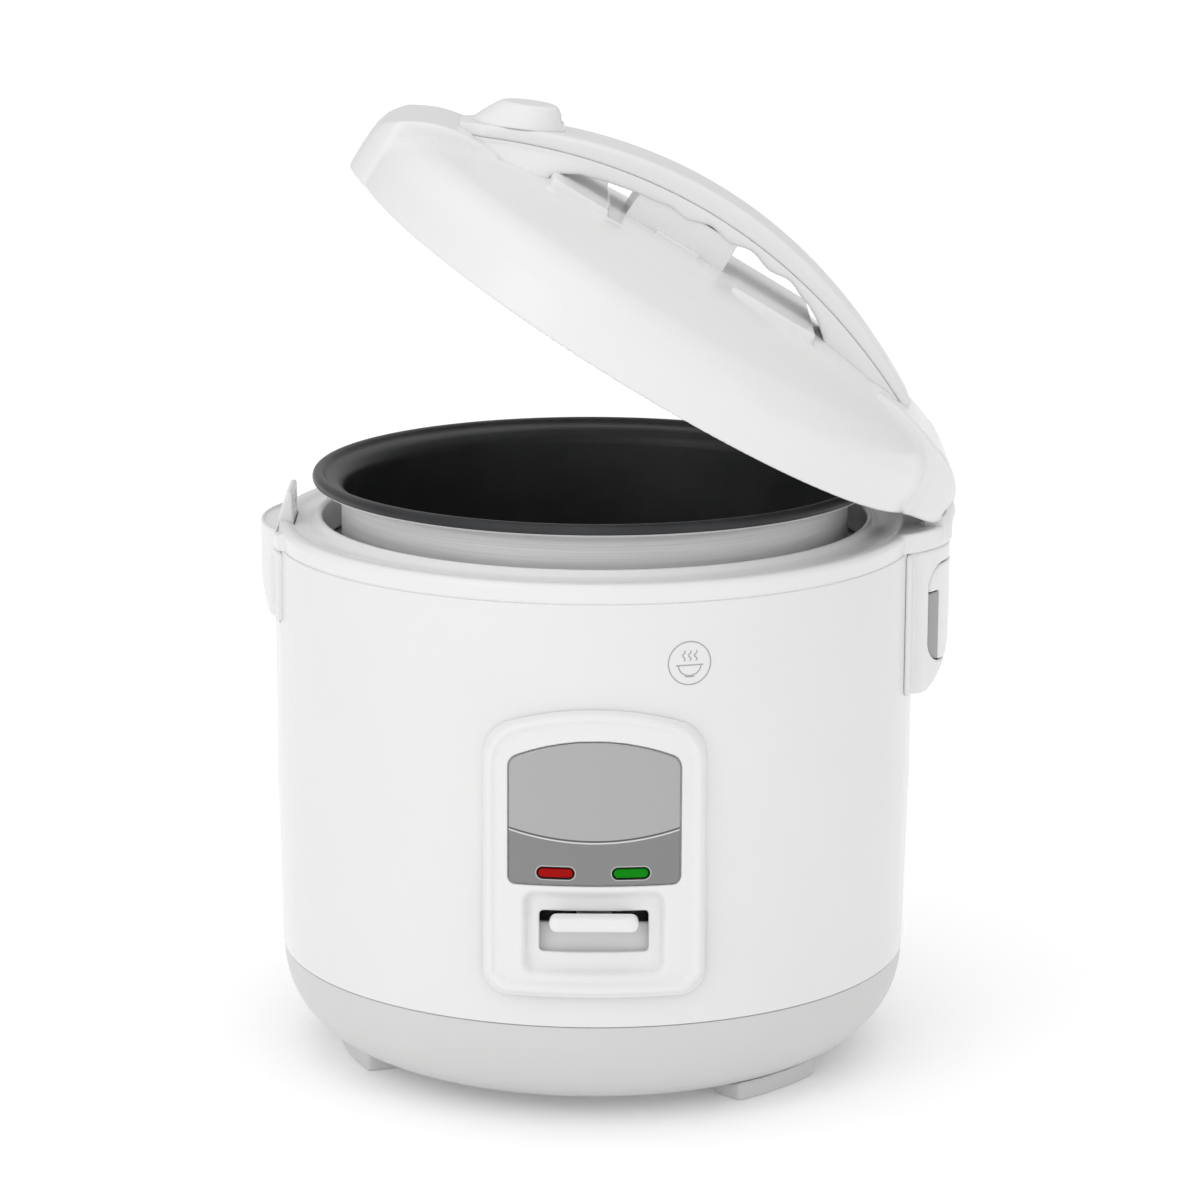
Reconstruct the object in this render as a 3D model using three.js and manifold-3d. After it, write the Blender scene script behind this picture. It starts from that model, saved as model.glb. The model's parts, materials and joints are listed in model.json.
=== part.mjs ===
// Domestic rice cooker: round white body, lift-out pot, hinged lid with a carrying handle.
// Millimetres, +Z up. The body's axis stands at (-CENTRE_X, -CENTRE_Y), and Z = 0 is the table.
// The control panel faces -Y, the latch is at -X and the lid's hinge at +X. The lid stands open.
import * as THREE from 'three';
import { mergeVertices } from 'three/addons/utils/BufferGeometryUtils.js';
import Module from 'manifold-3d';

const wasm = await Module();
wasm.setup();

// ---------------------------------------------------------------- driving dimensions
const GAP = 0.3;                 // between pieces that touch
const PIN_ROOM = 0.25;           // round a pivot pin, in its hole
const ROUND = 36;                // sides of a large turned piece
const FINE = 60;                 // sides of an arc that only a short stretch of is kept
const CENTRE_X = 5.03;           // middle of the footprint, from the body's axis
const CENTRE_Y = -4.65;

const SHELL_R = 132;             // body shell, outside
const SHELL_FOOT_R = 130;        // the shell draws in a little at its foot
const SHELL_WALL = 1.6;
const BASE_Z = 4.8;              // underside of the base bowl
const BASE_TOP = 44.6;
const BASE_FLAT_R = 88;          // flat of the bowl's underside
const BASE_R = 129.7;
const BASE_WALL = 2.4;
const BASE_ROUND = 2.1;          // exponent of the bowl's superelliptic side
const SHELL_TOP = 216.4;
const RING_TOP = 224.6;          // the plane that the closed lid meets
const LIP_R = 113.4;             // mouth of the top ring
const LIP_TOP = 226.6;

const POT_R = 104.5;
const POT_WALL = 1.5;
const POT_BOTTOM = 94;
const POT_TOP = 244.6;
const POT_RIM_R = 116.4;

const PLATE_TOP = 93.7;          // heating plate
const PLATE_BOTTOM = 82;
const WELL_FLOOR = 70;

const HINGE_X = 141.5;           // lid hinge axis, parallel to Y
const HINGE_Z = 231.2;
const LID_OPEN = 31;             // degrees, as it stands
const BARREL_R = 6.2;
const HINGE_PIN_R = 2;

const LATCH_X = -126;            // latch lever's axis, parallel to Y
const LATCH_Z = 207;
const LATCH_PIN_R = 2;

const PANEL_X = 0.6;             // middle of the control panel
const PANEL_FACE_R = 136.6;      // the panel's face is concentric with the body
const SWITCH_Y = -66;            // cook switch lever's axis, parallel to X
const SWITCH_Z = 60;
const SWITCH_PIN_R = 2;
const SPRING_Y = -82;            // the spring that lifts the cook switch
const SHIELD_R = 60;             // shield below the cook switch's knob, about its axle
const SHIELD_WALL = 1.4;
const SHIELD_HALF = 23.5;
const SHIELD_SWEEP = [6, 11, 16, 21, 26]; // degrees above the axle

const LINER_R = 119.8;           // inside of the skirt round the lid's liner

const HANDLE_HALF = 20;          // half the handle's width
const HANDLE_TOP = 70;           // above the lid's rim plane
const HANDLE_MID_X = -2;
const HANDLE_R = 190;            // curvature of the handle's back
const SEAM_TOP = 62;             // joint line between the handle's grip and its cover
const SEAM_R = 214;
const FINGER_PITCH = 19.6;       // of the grooves under the handle
const GROOVE_DEPTH = 0.9;

const VENT_X = -87;              // steam vent, on the handle's latch end
const VENT_TILT = 24;            // degrees towards the latch
const VENT_BASE_R = 19;

const FOOT_ANGLES = [47, 167, 287]; // from the front, towards the hinge
const FOOT_SCREW_R = 94;         // circle of the feet's screws
const POST_CIRCLE_R = 62;        // circle of the heating plate's posts

// ---------------------------------------------------------------- materials
const plastic = (color, roughness = 0.3) => new THREE.MeshStandardMaterial({ color, roughness });
const metal = (color, roughness) => new THREE.MeshStandardMaterial({ color, roughness, metalness: 1 });
const white = () => plastic(0xf2f2f1, 0.28);
const steel = () => metal(0xb9babb, 0.35);

// ---------------------------------------------------------------- solids
const RAD = Math.PI / 180;

function solid(geometry) {
  geometry.deleteAttribute('normal');
  geometry.deleteAttribute('uv');
  const merged = mergeVertices(geometry, 1e-4);
  const build = (triVerts) => new wasm.Manifold(new wasm.Mesh({
    numProp: 3,
    vertProperties: new Float32Array(merged.attributes.position.array),
    triVerts,
  }));
  const index = new Uint32Array(merged.index.array);
  const body = build(index);
  return body.volume() > 0 ? body : build(index.reverse());
}

const join = (first, ...rest) => rest.reduce((sum, next) => sum.add(next), first);
const cut = (first, ...rest) => rest.reduce((left, next) => left.subtract(next), first);

function box(x0, x1, y0, y1, z0, z1) {
  const geometry = new THREE.BoxGeometry(x1 - x0, y1 - y0, z1 - z0);
  return solid(geometry.translate((x0 + x1) / 2, (y0 + y1) / 2, (z0 + z1) / 2));
}

// A piece turned about Z from an outline of [radius, height] points.
// Outlines that leave the axis closed on itself repeat their first point.
function turned(outline, sides = ROUND) {
  const closed = outline[0][0] > 0 ? [...outline, outline[0]] : outline;
  const points = closed.map(([r, z]) => new THREE.Vector2(r, z));
  return solid(new THREE.LatheGeometry(points, sides).rotateX(Math.PI / 2));
}

const tube = (inner, outer, z0, z1, sides = ROUND) =>
  turned([[inner, z0], [outer, z0], [outer, z1], [inner, z1]], sides);

// A round bar from one point to another, both [x, y, z].
function bar(radius, from, to, sides = 16) {
  const start = new THREE.Vector3(...from);
  const along = new THREE.Vector3(...to).sub(start);
  const geometry = new THREE.CylinderGeometry(radius, radius, along.length(), sides);
  const turn = new THREE.Quaternion().setFromUnitVectors(
    new THREE.Vector3(0, 1, 0), along.clone().normalize());
  geometry.applyQuaternion(turn);
  return solid(geometry.translate(...start.addScaledVector(along, 0.5).toArray()));
}

function asShape(outline) {
  if (outline instanceof THREE.Shape) return outline;
  return new THREE.Shape(outline.map(([a, b]) => new THREE.Vector2(a, b)));
}

// Outlines in the XY plane, raised from z0 to z1.
function raised(outline, z0, z1, curveSegments = 8) {
  const settings = { depth: z1 - z0, bevelEnabled: false, curveSegments };
  return solid(new THREE.ExtrudeGeometry(asShape(outline), settings).translate(0, 0, z0));
}

// Outlines in the XZ plane, from y0 to y1.
function across(outline, y0, y1, curveSegments = 8) {
  const settings = { depth: y1 - y0, bevelEnabled: false, curveSegments };
  const geometry = new THREE.ExtrudeGeometry(asShape(outline), settings);
  return solid(geometry.rotateX(Math.PI / 2).translate(0, y1, 0));
}

// Outlines in the YZ plane, from x0 to x1.
function sideways(outline, x0, x1) {
  const settings = { depth: x1 - x0, bevelEnabled: false };
  const geometry = new THREE.ExtrudeGeometry(asShape(outline), settings);
  const axes = new THREE.Matrix4().makeBasis(
    new THREE.Vector3(0, 1, 0), new THREE.Vector3(0, 0, 1), new THREE.Vector3(1, 0, 0));
  return solid(geometry.applyMatrix4(axes).translate(x0, 0, 0));
}

// A coil spring about Z, standing on z = 0.
class Helix extends THREE.Curve {
  constructor(radius, height, turns) {
    super();
    Object.assign(this, { radius, height, turns });
  }

  getPoint(t, target = new THREE.Vector3()) {
    const a = t * this.turns * 2 * Math.PI;
    return target.set(this.radius * Math.cos(a), this.radius * Math.sin(a), t * this.height);
  }
}

function coil(radius, height, turns, wire) {
  const section = new THREE.Shape();
  section.absarc(0, 0, wire / 2, 0, 2 * Math.PI);
  const settings = {
    extrudePath: new Helix(radius, height, turns),
    steps: turns * 7,
    curveSegments: 3,
    bevelEnabled: false,
  };
  return solid(new THREE.ExtrudeGeometry(section, settings));
}

const lieAlongY = (body, y) => body.rotate([-90, 0, 0]).translate([0, y, 0]);

// ---------------------------------------------------------------- the scene graph
const object = new THREE.Group();
const body = new THREE.Group();
body.position.set(-CENTRE_X, -CENTRE_Y, 0);
object.add(body);

// The lid's own frame: X towards the hinge, origin in the middle of its rim plane when closed.
const lidPivot = new THREE.Group();
lidPivot.position.set(HINGE_X, 0, HINGE_Z);
lidPivot.rotation.y = LID_OPEN * RAD;
const lid = new THREE.Group();
lid.position.set(-HINGE_X, 0, RING_TOP - HINGE_Z);
lidPivot.add(lid);
body.add(lidPivot);

function add(parent, name, shape, material) {
  const { vertProperties, triVerts } = shape.getMesh();
  const geometry = new THREE.BufferGeometry();
  geometry.setAttribute('position', new THREE.BufferAttribute(new Float32Array(vertProperties), 3));
  geometry.setIndex(new THREE.BufferAttribute(new Uint32Array(triVerts), 1));
  const mesh = new THREE.Mesh(geometry, material);
  mesh.name = name;
  parent.add(mesh);
  return mesh;
}

// ---------------------------------------------------------------- base, feet and inlet
// The quarter superellipse of the bowl's side, grown by a margin.
function bowlSide(margin, steps = 5) {
  const points = [];
  for (let i = 0; i <= steps; i += 1) {
    const t = (i / steps) * 90 * RAD;
    const r = BASE_FLAT_R + (BASE_R + margin - BASE_FLAT_R) * Math.sin(t) ** (2 / BASE_ROUND);
    const z = BASE_TOP - (BASE_TOP - BASE_Z + margin) * Math.cos(t) ** (2 / BASE_ROUND);
    points.push([r, z]);
  }
  return points;
}

const frontAngle = (degrees) => (degrees - 90) * RAD;

function footScrewPlace(degrees) {
  const a = frontAngle(degrees);
  return [FOOT_SCREW_R * Math.cos(a), FOOT_SCREW_R * Math.sin(a)];
}

const INLET = { half: 17, z0: 13, z1: 38, y0: 98, y1: 131.5 };

function makeBase() {
  const outside = [[0, BASE_Z], ...bowlSide(0)];
  const inside = [...bowlSide(-BASE_WALL).reverse(), [0, BASE_Z + BASE_WALL]];
  let bowl = turned([...outside, ...inside]);
  const { half, z0, z1, y0, y1 } = INLET;
  bowl = cut(bowl, box(-half - GAP, half + GAP, y0, y1 + 10, z0 - GAP, z1 + GAP));
  for (const degrees of FOOT_ANGLES) {
    const [x, y] = footScrewPlace(degrees);
    bowl = cut(bowl, bar(2.1, [x, y, 0], [x, y, 20]));
  }
  // Cooling slots in the underside, in two rows either side of the middle.
  for (const side of [-1, 1]) {
    for (let i = -1.5; i <= 1.5; i += 1) {
      const x = i * 12;
      bowl = cut(bowl, box(x - 1.5, x + 1.5, side * 28 - 12, side * 28 + 12, 0, 12));
    }
  }
  add(body, 'base_housing', bowl, white());
}

function makeFeet() {
  const bowl = turned([[0, BASE_Z - GAP], ...bowlSide(GAP), [0, BASE_TOP]]);
  FOOT_ANGLES.forEach((degrees, i) => {
    const block = new THREE.Shape();
    block.moveTo(-20, 88).quadraticCurveTo(-23.5, 88, -23.5, 92).lineTo(-23.5, 98);
    block.quadraticCurveTo(-23, 103, -17, 104).quadraticCurveTo(0, 107, 17, 104);
    block.quadraticCurveTo(23, 103, 23.5, 98).lineTo(23.5, 92).quadraticCurveTo(23.5, 88, 20, 88);
    const foot = raised(block, 0, 9, 4).rotate([0, 0, degrees + 180]);
    const [x, y] = footScrewPlace(degrees);
    const hole = join(bar(2.1, [x, y, -1], [x, y, 20]), bar(3.8, [x, y, -1], [x, y, 3]));
    add(body, `foot_${i + 1}`, cut(foot, bowl, hole), plastic(0xececea, 0.5));
    const screw = join(bar(3.4, [x, y, 0.9], [x, y, 2.7]), bar(1.7, [x, y, 2.5], [x, y, 14], 12));
    const slot = box(x - 2.4, x + 2.4, y - 0.4, y + 0.4, 0, 1.7);
    add(body, `foot_screw_${i + 1}`, cut(screw, slot), steel());
  });
}

function makeInlet() {
  const { half, z0, z1, y0, y1 } = INLET;
  const block = box(-half, half, y0, y1, z0, z1);
  const recess = box(-half + 4, half - 4, 110, y1 + 1, z0 + 4, z1 - 4);
  const pins = [[-7.5, 23], [0, 28.5], [7.5, 23]];
  let socket = cut(block, recess);
  for (const [x, z] of pins) socket = cut(socket, bar(2.3, [x, y0 - 1, z], [x, 111, z]));
  add(body, 'power_inlet', socket, plastic(0x26272a, 0.5));
  pins.forEach(([x, z], i) => {
    const pin = join(bar(1.9, [x, 92, z], [x, 124, z]), box(x - 1.2, x + 1.2, 86, 93, z - 3, z + 3));
    add(body, `inlet_pin_${i + 1}`, pin, metal(0xc7b070, 0.3));
  });
}

// ---------------------------------------------------------------- shell, top ring and well
function makeShell() {
  const wall = SHELL_WALL;
  const outline = [
    [SHELL_FOOT_R, BASE_TOP + GAP], [SHELL_R, 120], [SHELL_R, SHELL_TOP],
    [SHELL_R - wall, SHELL_TOP], [SHELL_R - wall, 120], [SHELL_FOOT_R - wall, BASE_TOP + GAP],
  ];
  const panelHole = box(PANEL_X - 35, PANEL_X + 35, -140, -90, 66, 158);
  const latchHole = box(-140, -100, -31.5, 31.5, 185.6, SHELL_TOP + 1);
  add(body, 'outer_shell', cut(turned(outline), panelHole, latchHole), plastic(0xf4f4f3, 0.2));
}

// The hinge side bulges out in plan as an arc of this centre and radius.
const HINGE_ARC = { x: 103.4, r: 43.9 };
const LATCH_ARC = { x: -78.5, r: 59.5 };

function disc({ x, r }, z0, z1, grow = 0) {
  return turned([[0, z0], [r + grow, z0], [r + grow, z1], [0, z1]], FINE).translate([x, 0, 0]);
}

function hingeLug(side) {
  const [near, far] = [12.3, 18].map((y) => y * side).sort((a, b) => a - b);
  const round = bar(BARREL_R, [HINGE_X, near, HINGE_Z], [HINGE_X, far, HINGE_Z], 24);
  const post = box(HINGE_X - 6.6, HINGE_X + 5.2, near, far, 220, HINGE_Z);
  return join(round, post);
}

function makeTopRing() {
  const skirt = SHELL_TOP + GAP;
  const outline = [
    [SHELL_R, skirt], [SHELL_R, 222.4], [129.6, RING_TOP], [127, RING_TOP],
    [123.4, 222.9], [118.5, 222.9], [116.2, 224.2], [114.9, LIP_TOP],
    [LIP_R, LIP_TOP], [LIP_R - 1, 225.6], [LIP_R - 1, 212], [115, 212],
    [115, 220.4], [129.6, 220.4], [129.6, skirt],
  ];
  let ring = turned(outline);
  const ear = cut(disc(HINGE_ARC, skirt, RING_TOP), turned([[0, 200], [130, 200], [130, 240], [0, 240]]));
  ring = join(ring, ear.intersect(box(100, 160, -40, 40, 200, 240)), hingeLug(-1), hingeLug(1));
  for (const side of [-1, 1]) {
    const [a, b] = [29.6, 37.4].map((y) => y * side).sort((p, q) => p - q);
    const strip = tube(131, 134.2, skirt, 223.4, FINE).intersect(box(-140, -100, a, b, 200, 240));
    ring = join(ring, strip);
  }
  const pinHole = bar(HINGE_PIN_R + PIN_ROOM, [HINGE_X, -30, HINGE_Z], [HINGE_X, 30, HINGE_Z]);
  const hookSlot = box(-145, -122.9, -15.8, 15.8, 200, 240);
  const leverRoom = disc(LATCH_ARC, 200, 240, 1).intersect(box(-145, -129.2, -29.4, 29.4, 200, 240));
  add(body, 'top_ring', cut(ring, pinHole, hookSlot, leverRoom), plastic(0xebebea, 0.32));
}

function makeWell() {
  const floor = WELL_FLOOR;
  const wall = 1.2;
  let well = turned([
    [22, floor], [100, floor], [108, floor + 8], [108, 210.3], [114.8, 210.3], [114.8, 211.6],
    [108 - wall, 211.6], [108 - wall, floor + 8.5], [99.5, floor + wall], [22, floor + wall],
  ]);
  for (const [x, y] of postPlaces()) well = cut(well, bar(2.4, [x, y, 60], [x, y, 75], 12));
  add(body, 'inner_well', well, metal(0xa9abad, 0.45));
}

const postPlaces = () => [90, 210, 330].map((a) => [
  POST_CIRCLE_R * Math.cos(a * RAD), POST_CIRCLE_R * Math.sin(a * RAD)]);

// ---------------------------------------------------------------- heating and thermostat
function makeHeater() {
  let plate = turned([
    [17.6, PLATE_BOTTOM], [76, PLATE_BOTTOM], [80, PLATE_BOTTOM + 3], [80, PLATE_TOP - 2.5],
    [76, PLATE_TOP], [20, PLATE_TOP], [17.6, PLATE_TOP - 1.5],
  ], 36);
  const element = turned([[52, 78.5], [58, 78.5], [58, 84], [52, 84]], 36);
  plate = join(plate, element.intersect(box(-80, 80, -80, 46, 70, 90)));
  add(body, 'heating_plate', plate, metal(0xb5b7b8, 0.4));
  postPlaces().forEach(([x, y], i) => {
    const post = join(
      bar(4, [x, y, WELL_FLOOR + 1.5], [x, y, PLATE_BOTTOM - GAP]),
      bar(2, [x, y, 62], [x, y, WELL_FLOOR + 2], 12),
    );
    add(body, `plate_post_${i + 1}`, post, steel());
  });
}

function makeThermostat() {
  const sleeve = turned([
    [7.8, 58], [10, 58], [10, 66], [14, 66], [14, 68], [10, 69], [10, 79], [7.8, 79],
  ], 18);
  add(body, 'thermostat_body', sleeve, steel());
  const cap = turned([
    [0, 87.6], [7.2, 87.6], [7.2, 91.2], [14.4, 91.2], [14.4, 83], [15.8, 83], [16.8, 91.6],
    [16.4, PLATE_TOP], [0, PLATE_TOP],
  ], 24);
  add(body, 'thermostat_cap', cap, metal(0xc4c6c8, 0.35));
  add(body, 'thermostat_spring', coil(12.2, 9.6, 3, 1.1).translate([0, 0, 80.6]), steel());
  const magnet = join(
    turned([[0, 64], [7.2, 64], [7.2, 78.2], [0, 78.2]], 18),
    bar(2, [0, 0, 41.2], [0, 0, 65], 10),
  );
  add(body, 'magnet_plunger', magnet, plastic(0x3a3b3e, 0.6));
}

function makeElectrics() {
  const band = tube(108.6, 111, 118, 146).intersect(box(-120, 0, -70, 70, 100, 150));
  add(body, 'keep_warm_heater', band, plastic(0x9b6a3c, 0.7));
  const fuse = join(bar(2.6, [30, 10, 76], [30, 34, 76]), bar(0.8, [30, 2, 76], [30, 42, 76], 8));
  add(body, 'thermal_fuse', fuse, metal(0xbfbfbf, 0.4));
  let block = box(-62, -30, 44, 60, 7.6, 22);
  for (let i = 0; i < 3; i += 1) {
    const x = -56 + 10 * i;
    block = cut(block, bar(2.6, [x, 52, 16], [x, 52, 23], 10), bar(1.8, [x, 40, 12], [x, 64, 12], 8));
  }
  add(body, 'terminal_block', block, plastic(0xd9d4c4, 0.6));
}

// ---------------------------------------------------------------- pot
function makePot() {
  const r = POT_R;
  const w = POT_WALL;
  const top = POT_TOP;
  const pot = turned([
    [0, POT_BOTTOM], [84, POT_BOTTOM], [99.5, 101], [r, 116],
    // The wall flares out under a rolled bead.
    [r, top - 11.6], [r + 0.8, top - 8], [r + 3, top - 5.4], [r + 6.4, top - 4.2], [POT_RIM_R - 4, top - 4.9],
    [POT_RIM_R - 1.6, top - 5], [POT_RIM_R, top - 3.4], [POT_RIM_R, top - 1.6], [POT_RIM_R - 1.4, top],
    [POT_RIM_R - 3.8, top - 0.2], [POT_RIM_R - 5.1, top - 2], [r + 3.7, top - 2.7], [r + 0.3, top - 4.9],
    [r - w, top - 9], [r - w, 116.4], [98.4, 102], [83.5, POT_BOTTOM + w],
    [0, POT_BOTTOM + w],
  ]);
  add(body, 'inner_pot', pot, metal(0xb8babb, 0.4));
}

// ---------------------------------------------------------------- latch
const LEVER_FACE = [
  [-138.6, 224], [-138.5, 206], [-137.8, 200.5], [-136.5, 195.5], [-134.8, 190.3], [-133.4, 188],
  [-132, 187], [-120, 187], [-120, 224],
];

function makeLatch() {
  const x = LATCH_X;
  const z = LATCH_Z;
  let frame = box(-119.6, -117.6, -31, 31, 189, 213);
  for (const side of [-1, 1]) {
    const span = (near, far) => [near, far].map((y) => y * side).sort((a, b) => a - b);
    const [s0, s1] = span(29.6, 37.4);
    const strip = tube(SHELL_R + GAP, 134.2, 187, SHELL_TOP, FINE)
      .intersect(box(-140, -100, s0, s1, 170, 230));
    const [w0, w1] = span(29.6, 31.1);
    const [l0, l1] = span(16.6, 20.6);
    frame = join(frame, strip, box(-132.2, -117.6, w0, w1, 189, 213));
    frame = join(frame, box(x - 3.8, -117.6, l0, l1, z - 5, z + 4));
  }
  frame = cut(frame, bar(LATCH_PIN_R + PIN_ROOM, [x, -22, z], [x, 22, z]));
  add(body, 'latch_bracket', frame, plastic(0xededec, 0.35));

  const half = 29.2;
  const outside = disc(LATCH_ARC, 180, 224).intersect(box(-150, -129.6, -half, half, 100, 300))
    .intersect(across(LEVER_FACE, -40, 40));
  // The hollow is open at its foot and closed at the top.
  const inside = disc(LATCH_ARC, 170, 230, -2)
    .intersect(box(-150, -120, -half + 2, half - 2, 100, 300))
    .intersect(across(LEVER_FACE.map(([a, b]) => [a + 2, b - 2]), -40, 40));
  const hub = bar(4, [x, -11, z], [x, 11, z]);
  const web = box(-136.6, x, -10, 10, z - 2.5, z + 2.5);
  const neck = across([[x - 3.6, z], [-130.2, 217], [-123.8, 217], [x + 3.6, z]], -11, 11);
  const blade = across([
    [-130.6, 216], [-130.6, RING_TOP - 1], [-127.2, 234.4], [-126.2, 236.4], [-124.4, 236.4],
    [-123.8, 235], [-123.8, 216],
  ], -14, 14);
  const window = box(-140, -110, -8, 8, 226.5, 231);
  const pinHole = bar(LATCH_PIN_R + PIN_ROOM, [x, -20, z], [x, 20, z]);
  const lever = cut(join(cut(outside, inside), hub, web, neck, blade), window, pinHole);
  add(body, 'latch_lever', lever, plastic(0xf1f1f0, 0.3));

  add(body, 'latch_pin', bar(LATCH_PIN_R, [x, -23, z], [x, 23, z], 12), steel());
  const spring = lieAlongY(coil(3.1, 3.6, 3, 0.8), 11.9).translate([x, 0, z]);
  add(body, 'latch_spring', spring, steel());
}

// ---------------------------------------------------------------- hinge housing
const HOUSING_HALF = 31.5;
const HOUSING_FOOT = 156.6;
const CUP = { half: 27.5, corner: 9, x0: 134.6, z0: 169, rim: 198, top: 209 };

// A rectangle with round corners, seen along X.
function endOn(half, z0, z1, corner, x0, x1) {
  const shape = new THREE.Shape();
  const turn = Math.PI / 2;
  shape.absarc(half - corner, z0 + corner, corner, -turn, 0);
  shape.absarc(half - corner, z1 - corner, corner, 0, turn);
  shape.absarc(-half + corner, z1 - corner, corner, turn, 2 * turn);
  shape.absarc(-half + corner, z0 + corner, corner, 2 * turn, 3 * turn);
  return sideways(shape, x0, x1);
}

function makeHingeHousing() {
  const side = [
    [120, SHELL_TOP], [147.3, SHELL_TOP], [147.3, 185], [146.9, 176.6], [145.7, 170.5], [143.4, 165],
    [140.2, 160.4], [136.8, 157.3], [133.8, HOUSING_FOOT], [120, HOUSING_FOOT],
  ];
  const inner = side.map(([x, z]) => [x - 2.2, z > 200 ? z - 2.4 : z + 2.2]);
  const shellRoom = turned([[0, 100], [SHELL_R + GAP, 100], [SHELL_R + GAP, 240], [0, 240]]);
  const half = HOUSING_HALF;
  const flangeHalf = half + 6;
  const flange = turned([[100, HOUSING_FOOT], [134, HOUSING_FOOT], [134, SHELL_TOP], [100, SHELL_TOP]])
    .intersect(box(110, 150, -flangeHalf, flangeHalf, 100, 300));
  const hood = disc(HINGE_ARC, 140, SHELL_TOP).intersect(across(side, -half, half));
  const outside = cut(join(hood, flange), shellRoom);
  const backed = turned([[0, 100], [SHELL_R + 1.9, 100], [SHELL_R + 1.9, 240], [0, 240]]);
  const cavity = cut(
    disc(HINGE_ARC, 140, 230, -2.2).intersect(across(inner, -half + 2.2, half - 2.2)), backed);
  // The mouth is a rounded rectangle seen along X, and the cup fills its lower part.
  const mouth = endOn(CUP.half + 0.5, CUP.z0 - 0.5, CUP.top + 0.5, CUP.corner, 134.2, 160);
  add(body, 'hinge_housing', cut(outside, cavity, mouth), plastic(0xededec, 0.32));

  const front = disc(HINGE_ARC, CUP.z0, CUP.top).intersect(across(side, -half, half));
  const outline = endOn(CUP.half, CUP.z0, CUP.top, CUP.corner - 0.5, CUP.x0, 160);
  const block = front.intersect(outline);
  const belly = cut(block, box(100, 160, -40, 40, CUP.rim, 300));
  const hollow = disc(HINGE_ARC, CUP.z0 + 1.6, CUP.rim + 5, -1.8)
    .intersect(box(CUP.x0 + 1.8, 145.6, -CUP.half + 1.6, CUP.half - 1.6, CUP.z0 + 1.6, CUP.rim + 5))
    .intersect(across(side.map(([x, z]) => [x - 1.8, z]), -half, half));
  // Its face carries on above its rim, to the top of the mouth.
  const face = cut(block.intersect(box(100, 160, -half, half, CUP.rim - 1, 300)),
    disc(HINGE_ARC, 140, 230, -1.8));
  add(body, 'condensate_cup', join(cut(belly, hollow), face), plastic(0xa8abad, 0.2));

  const pin = bar(HINGE_PIN_R, [HINGE_X, -19, HINGE_Z], [HINGE_X, 19, HINGE_Z], 16);
  add(body, 'hinge_pin', pin, steel());
  const spring = lieAlongY(coil(3.2, 7.6, 4, 0.8), -3.8).translate([HINGE_X, 0, HINGE_Z]);
  add(body, 'hinge_spring', spring, steel());
}

// ---------------------------------------------------------------- control panel
// Outline of a plate with a straight foot, rounded corners and an arched head.
function archedPlate(half, z0, shoulder, crown, corner) {
  const shape = new THREE.Shape();
  shape.moveTo(PANEL_X - half + corner, z0).lineTo(PANEL_X + half - corner, z0);
  shape.quadraticCurveTo(PANEL_X + half, z0, PANEL_X + half, z0 + corner);
  shape.lineTo(PANEL_X + half, shoulder - corner);
  shape.quadraticCurveTo(PANEL_X + half, shoulder, PANEL_X + half - corner, shoulder + corner * 0.28);
  shape.quadraticCurveTo(PANEL_X, 2 * crown - shoulder - corner * 0.28,
    PANEL_X - half + corner, shoulder + corner * 0.28);
  shape.quadraticCurveTo(PANEL_X - half, shoulder, PANEL_X - half, shoulder - corner);
  shape.lineTo(PANEL_X - half, z0 + corner).quadraticCurveTo(PANEL_X - half, z0, PANEL_X - half + corner, z0);
  return shape;
}

function pill(x, z, length, height) {
  const half = length / 2 - height / 2;
  const shape = new THREE.Shape();
  shape.moveTo(x - half, z - height / 2).lineTo(x + half, z - height / 2);
  shape.absarc(x + half, z, height / 2, -Math.PI / 2, Math.PI / 2);
  shape.lineTo(x - half, z + height / 2);
  shape.absarc(x - half, z, height / 2, Math.PI / 2, 1.5 * Math.PI);
  return shape;
}

// A plate cut from a front outline, curved between two radii about the body's axis.
function curvedPlate(shape, inner, outer) {
  return across(shape, -160, -100, 5).intersect(tube(inner, outer, 40, 190, FINE));
}

const LENSES = [
  { name: 'cook', x: -14.5, color: 0xb01818 },
  { name: 'ready', x: 15, color: 0x158a2c },
];
const LENS_Z = 109.7;
const SLOT = { half: 21, z0: 77.4, z1: 94.2 };

function makePanel() {
  let bezel = curvedPlate(archedPlate(44, 57.7, 166, 175, 11), SHELL_R + GAP, PANEL_FACE_R);
  const pocket = curvedPlate(archedPlate(33.9, 104.4, 155.4, 162.9, 4), 134.6, 150);
  const recess = curvedPlate(archedPlate(28, 67.6, 101.4, 101.9, 5), 133.8, 150);
  const { half, z0, z1 } = SLOT;
  const slot = box(PANEL_X - half, PANEL_X + half, -150, -110, z0, z1);
  bezel = cut(bezel, pocket, recess, slot);
  let plate = curvedPlate(archedPlate(33.5, 104.8, 155, 162.5, 4), 134.9, 136.3);
  for (const { name, x, color } of LENSES) {
    const room = across(pill(x, LENS_Z, 14.6, 5.1), -150, -110, 6);
    bezel = cut(bezel, room);
    plate = cut(plate, room);
    const lens = curvedPlate(pill(x, LENS_Z, 14, 4.5), 128.6, 137);
    add(body, `${name}_lens`, lens, plastic(color, 0.15));
    const lamp = bar(1.8, [x, -124.2, LENS_Z], [x, -127, LENS_Z], 12);
    add(body, `${name}_lamp`, lamp, plastic(0xf5e2b8, 0.2));
  }
  add(body, 'panel_bezel', bezel, plastic(0xf1f1f0, 0.25));
  add(body, 'display_plate', plate, metal(0x9c9da0, 0.45));
  add(body, 'lamp_board', box(-26, 27, -123.8, -122.2, 100, 119), plastic(0x2f6b3c, 0.6));
}

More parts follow.
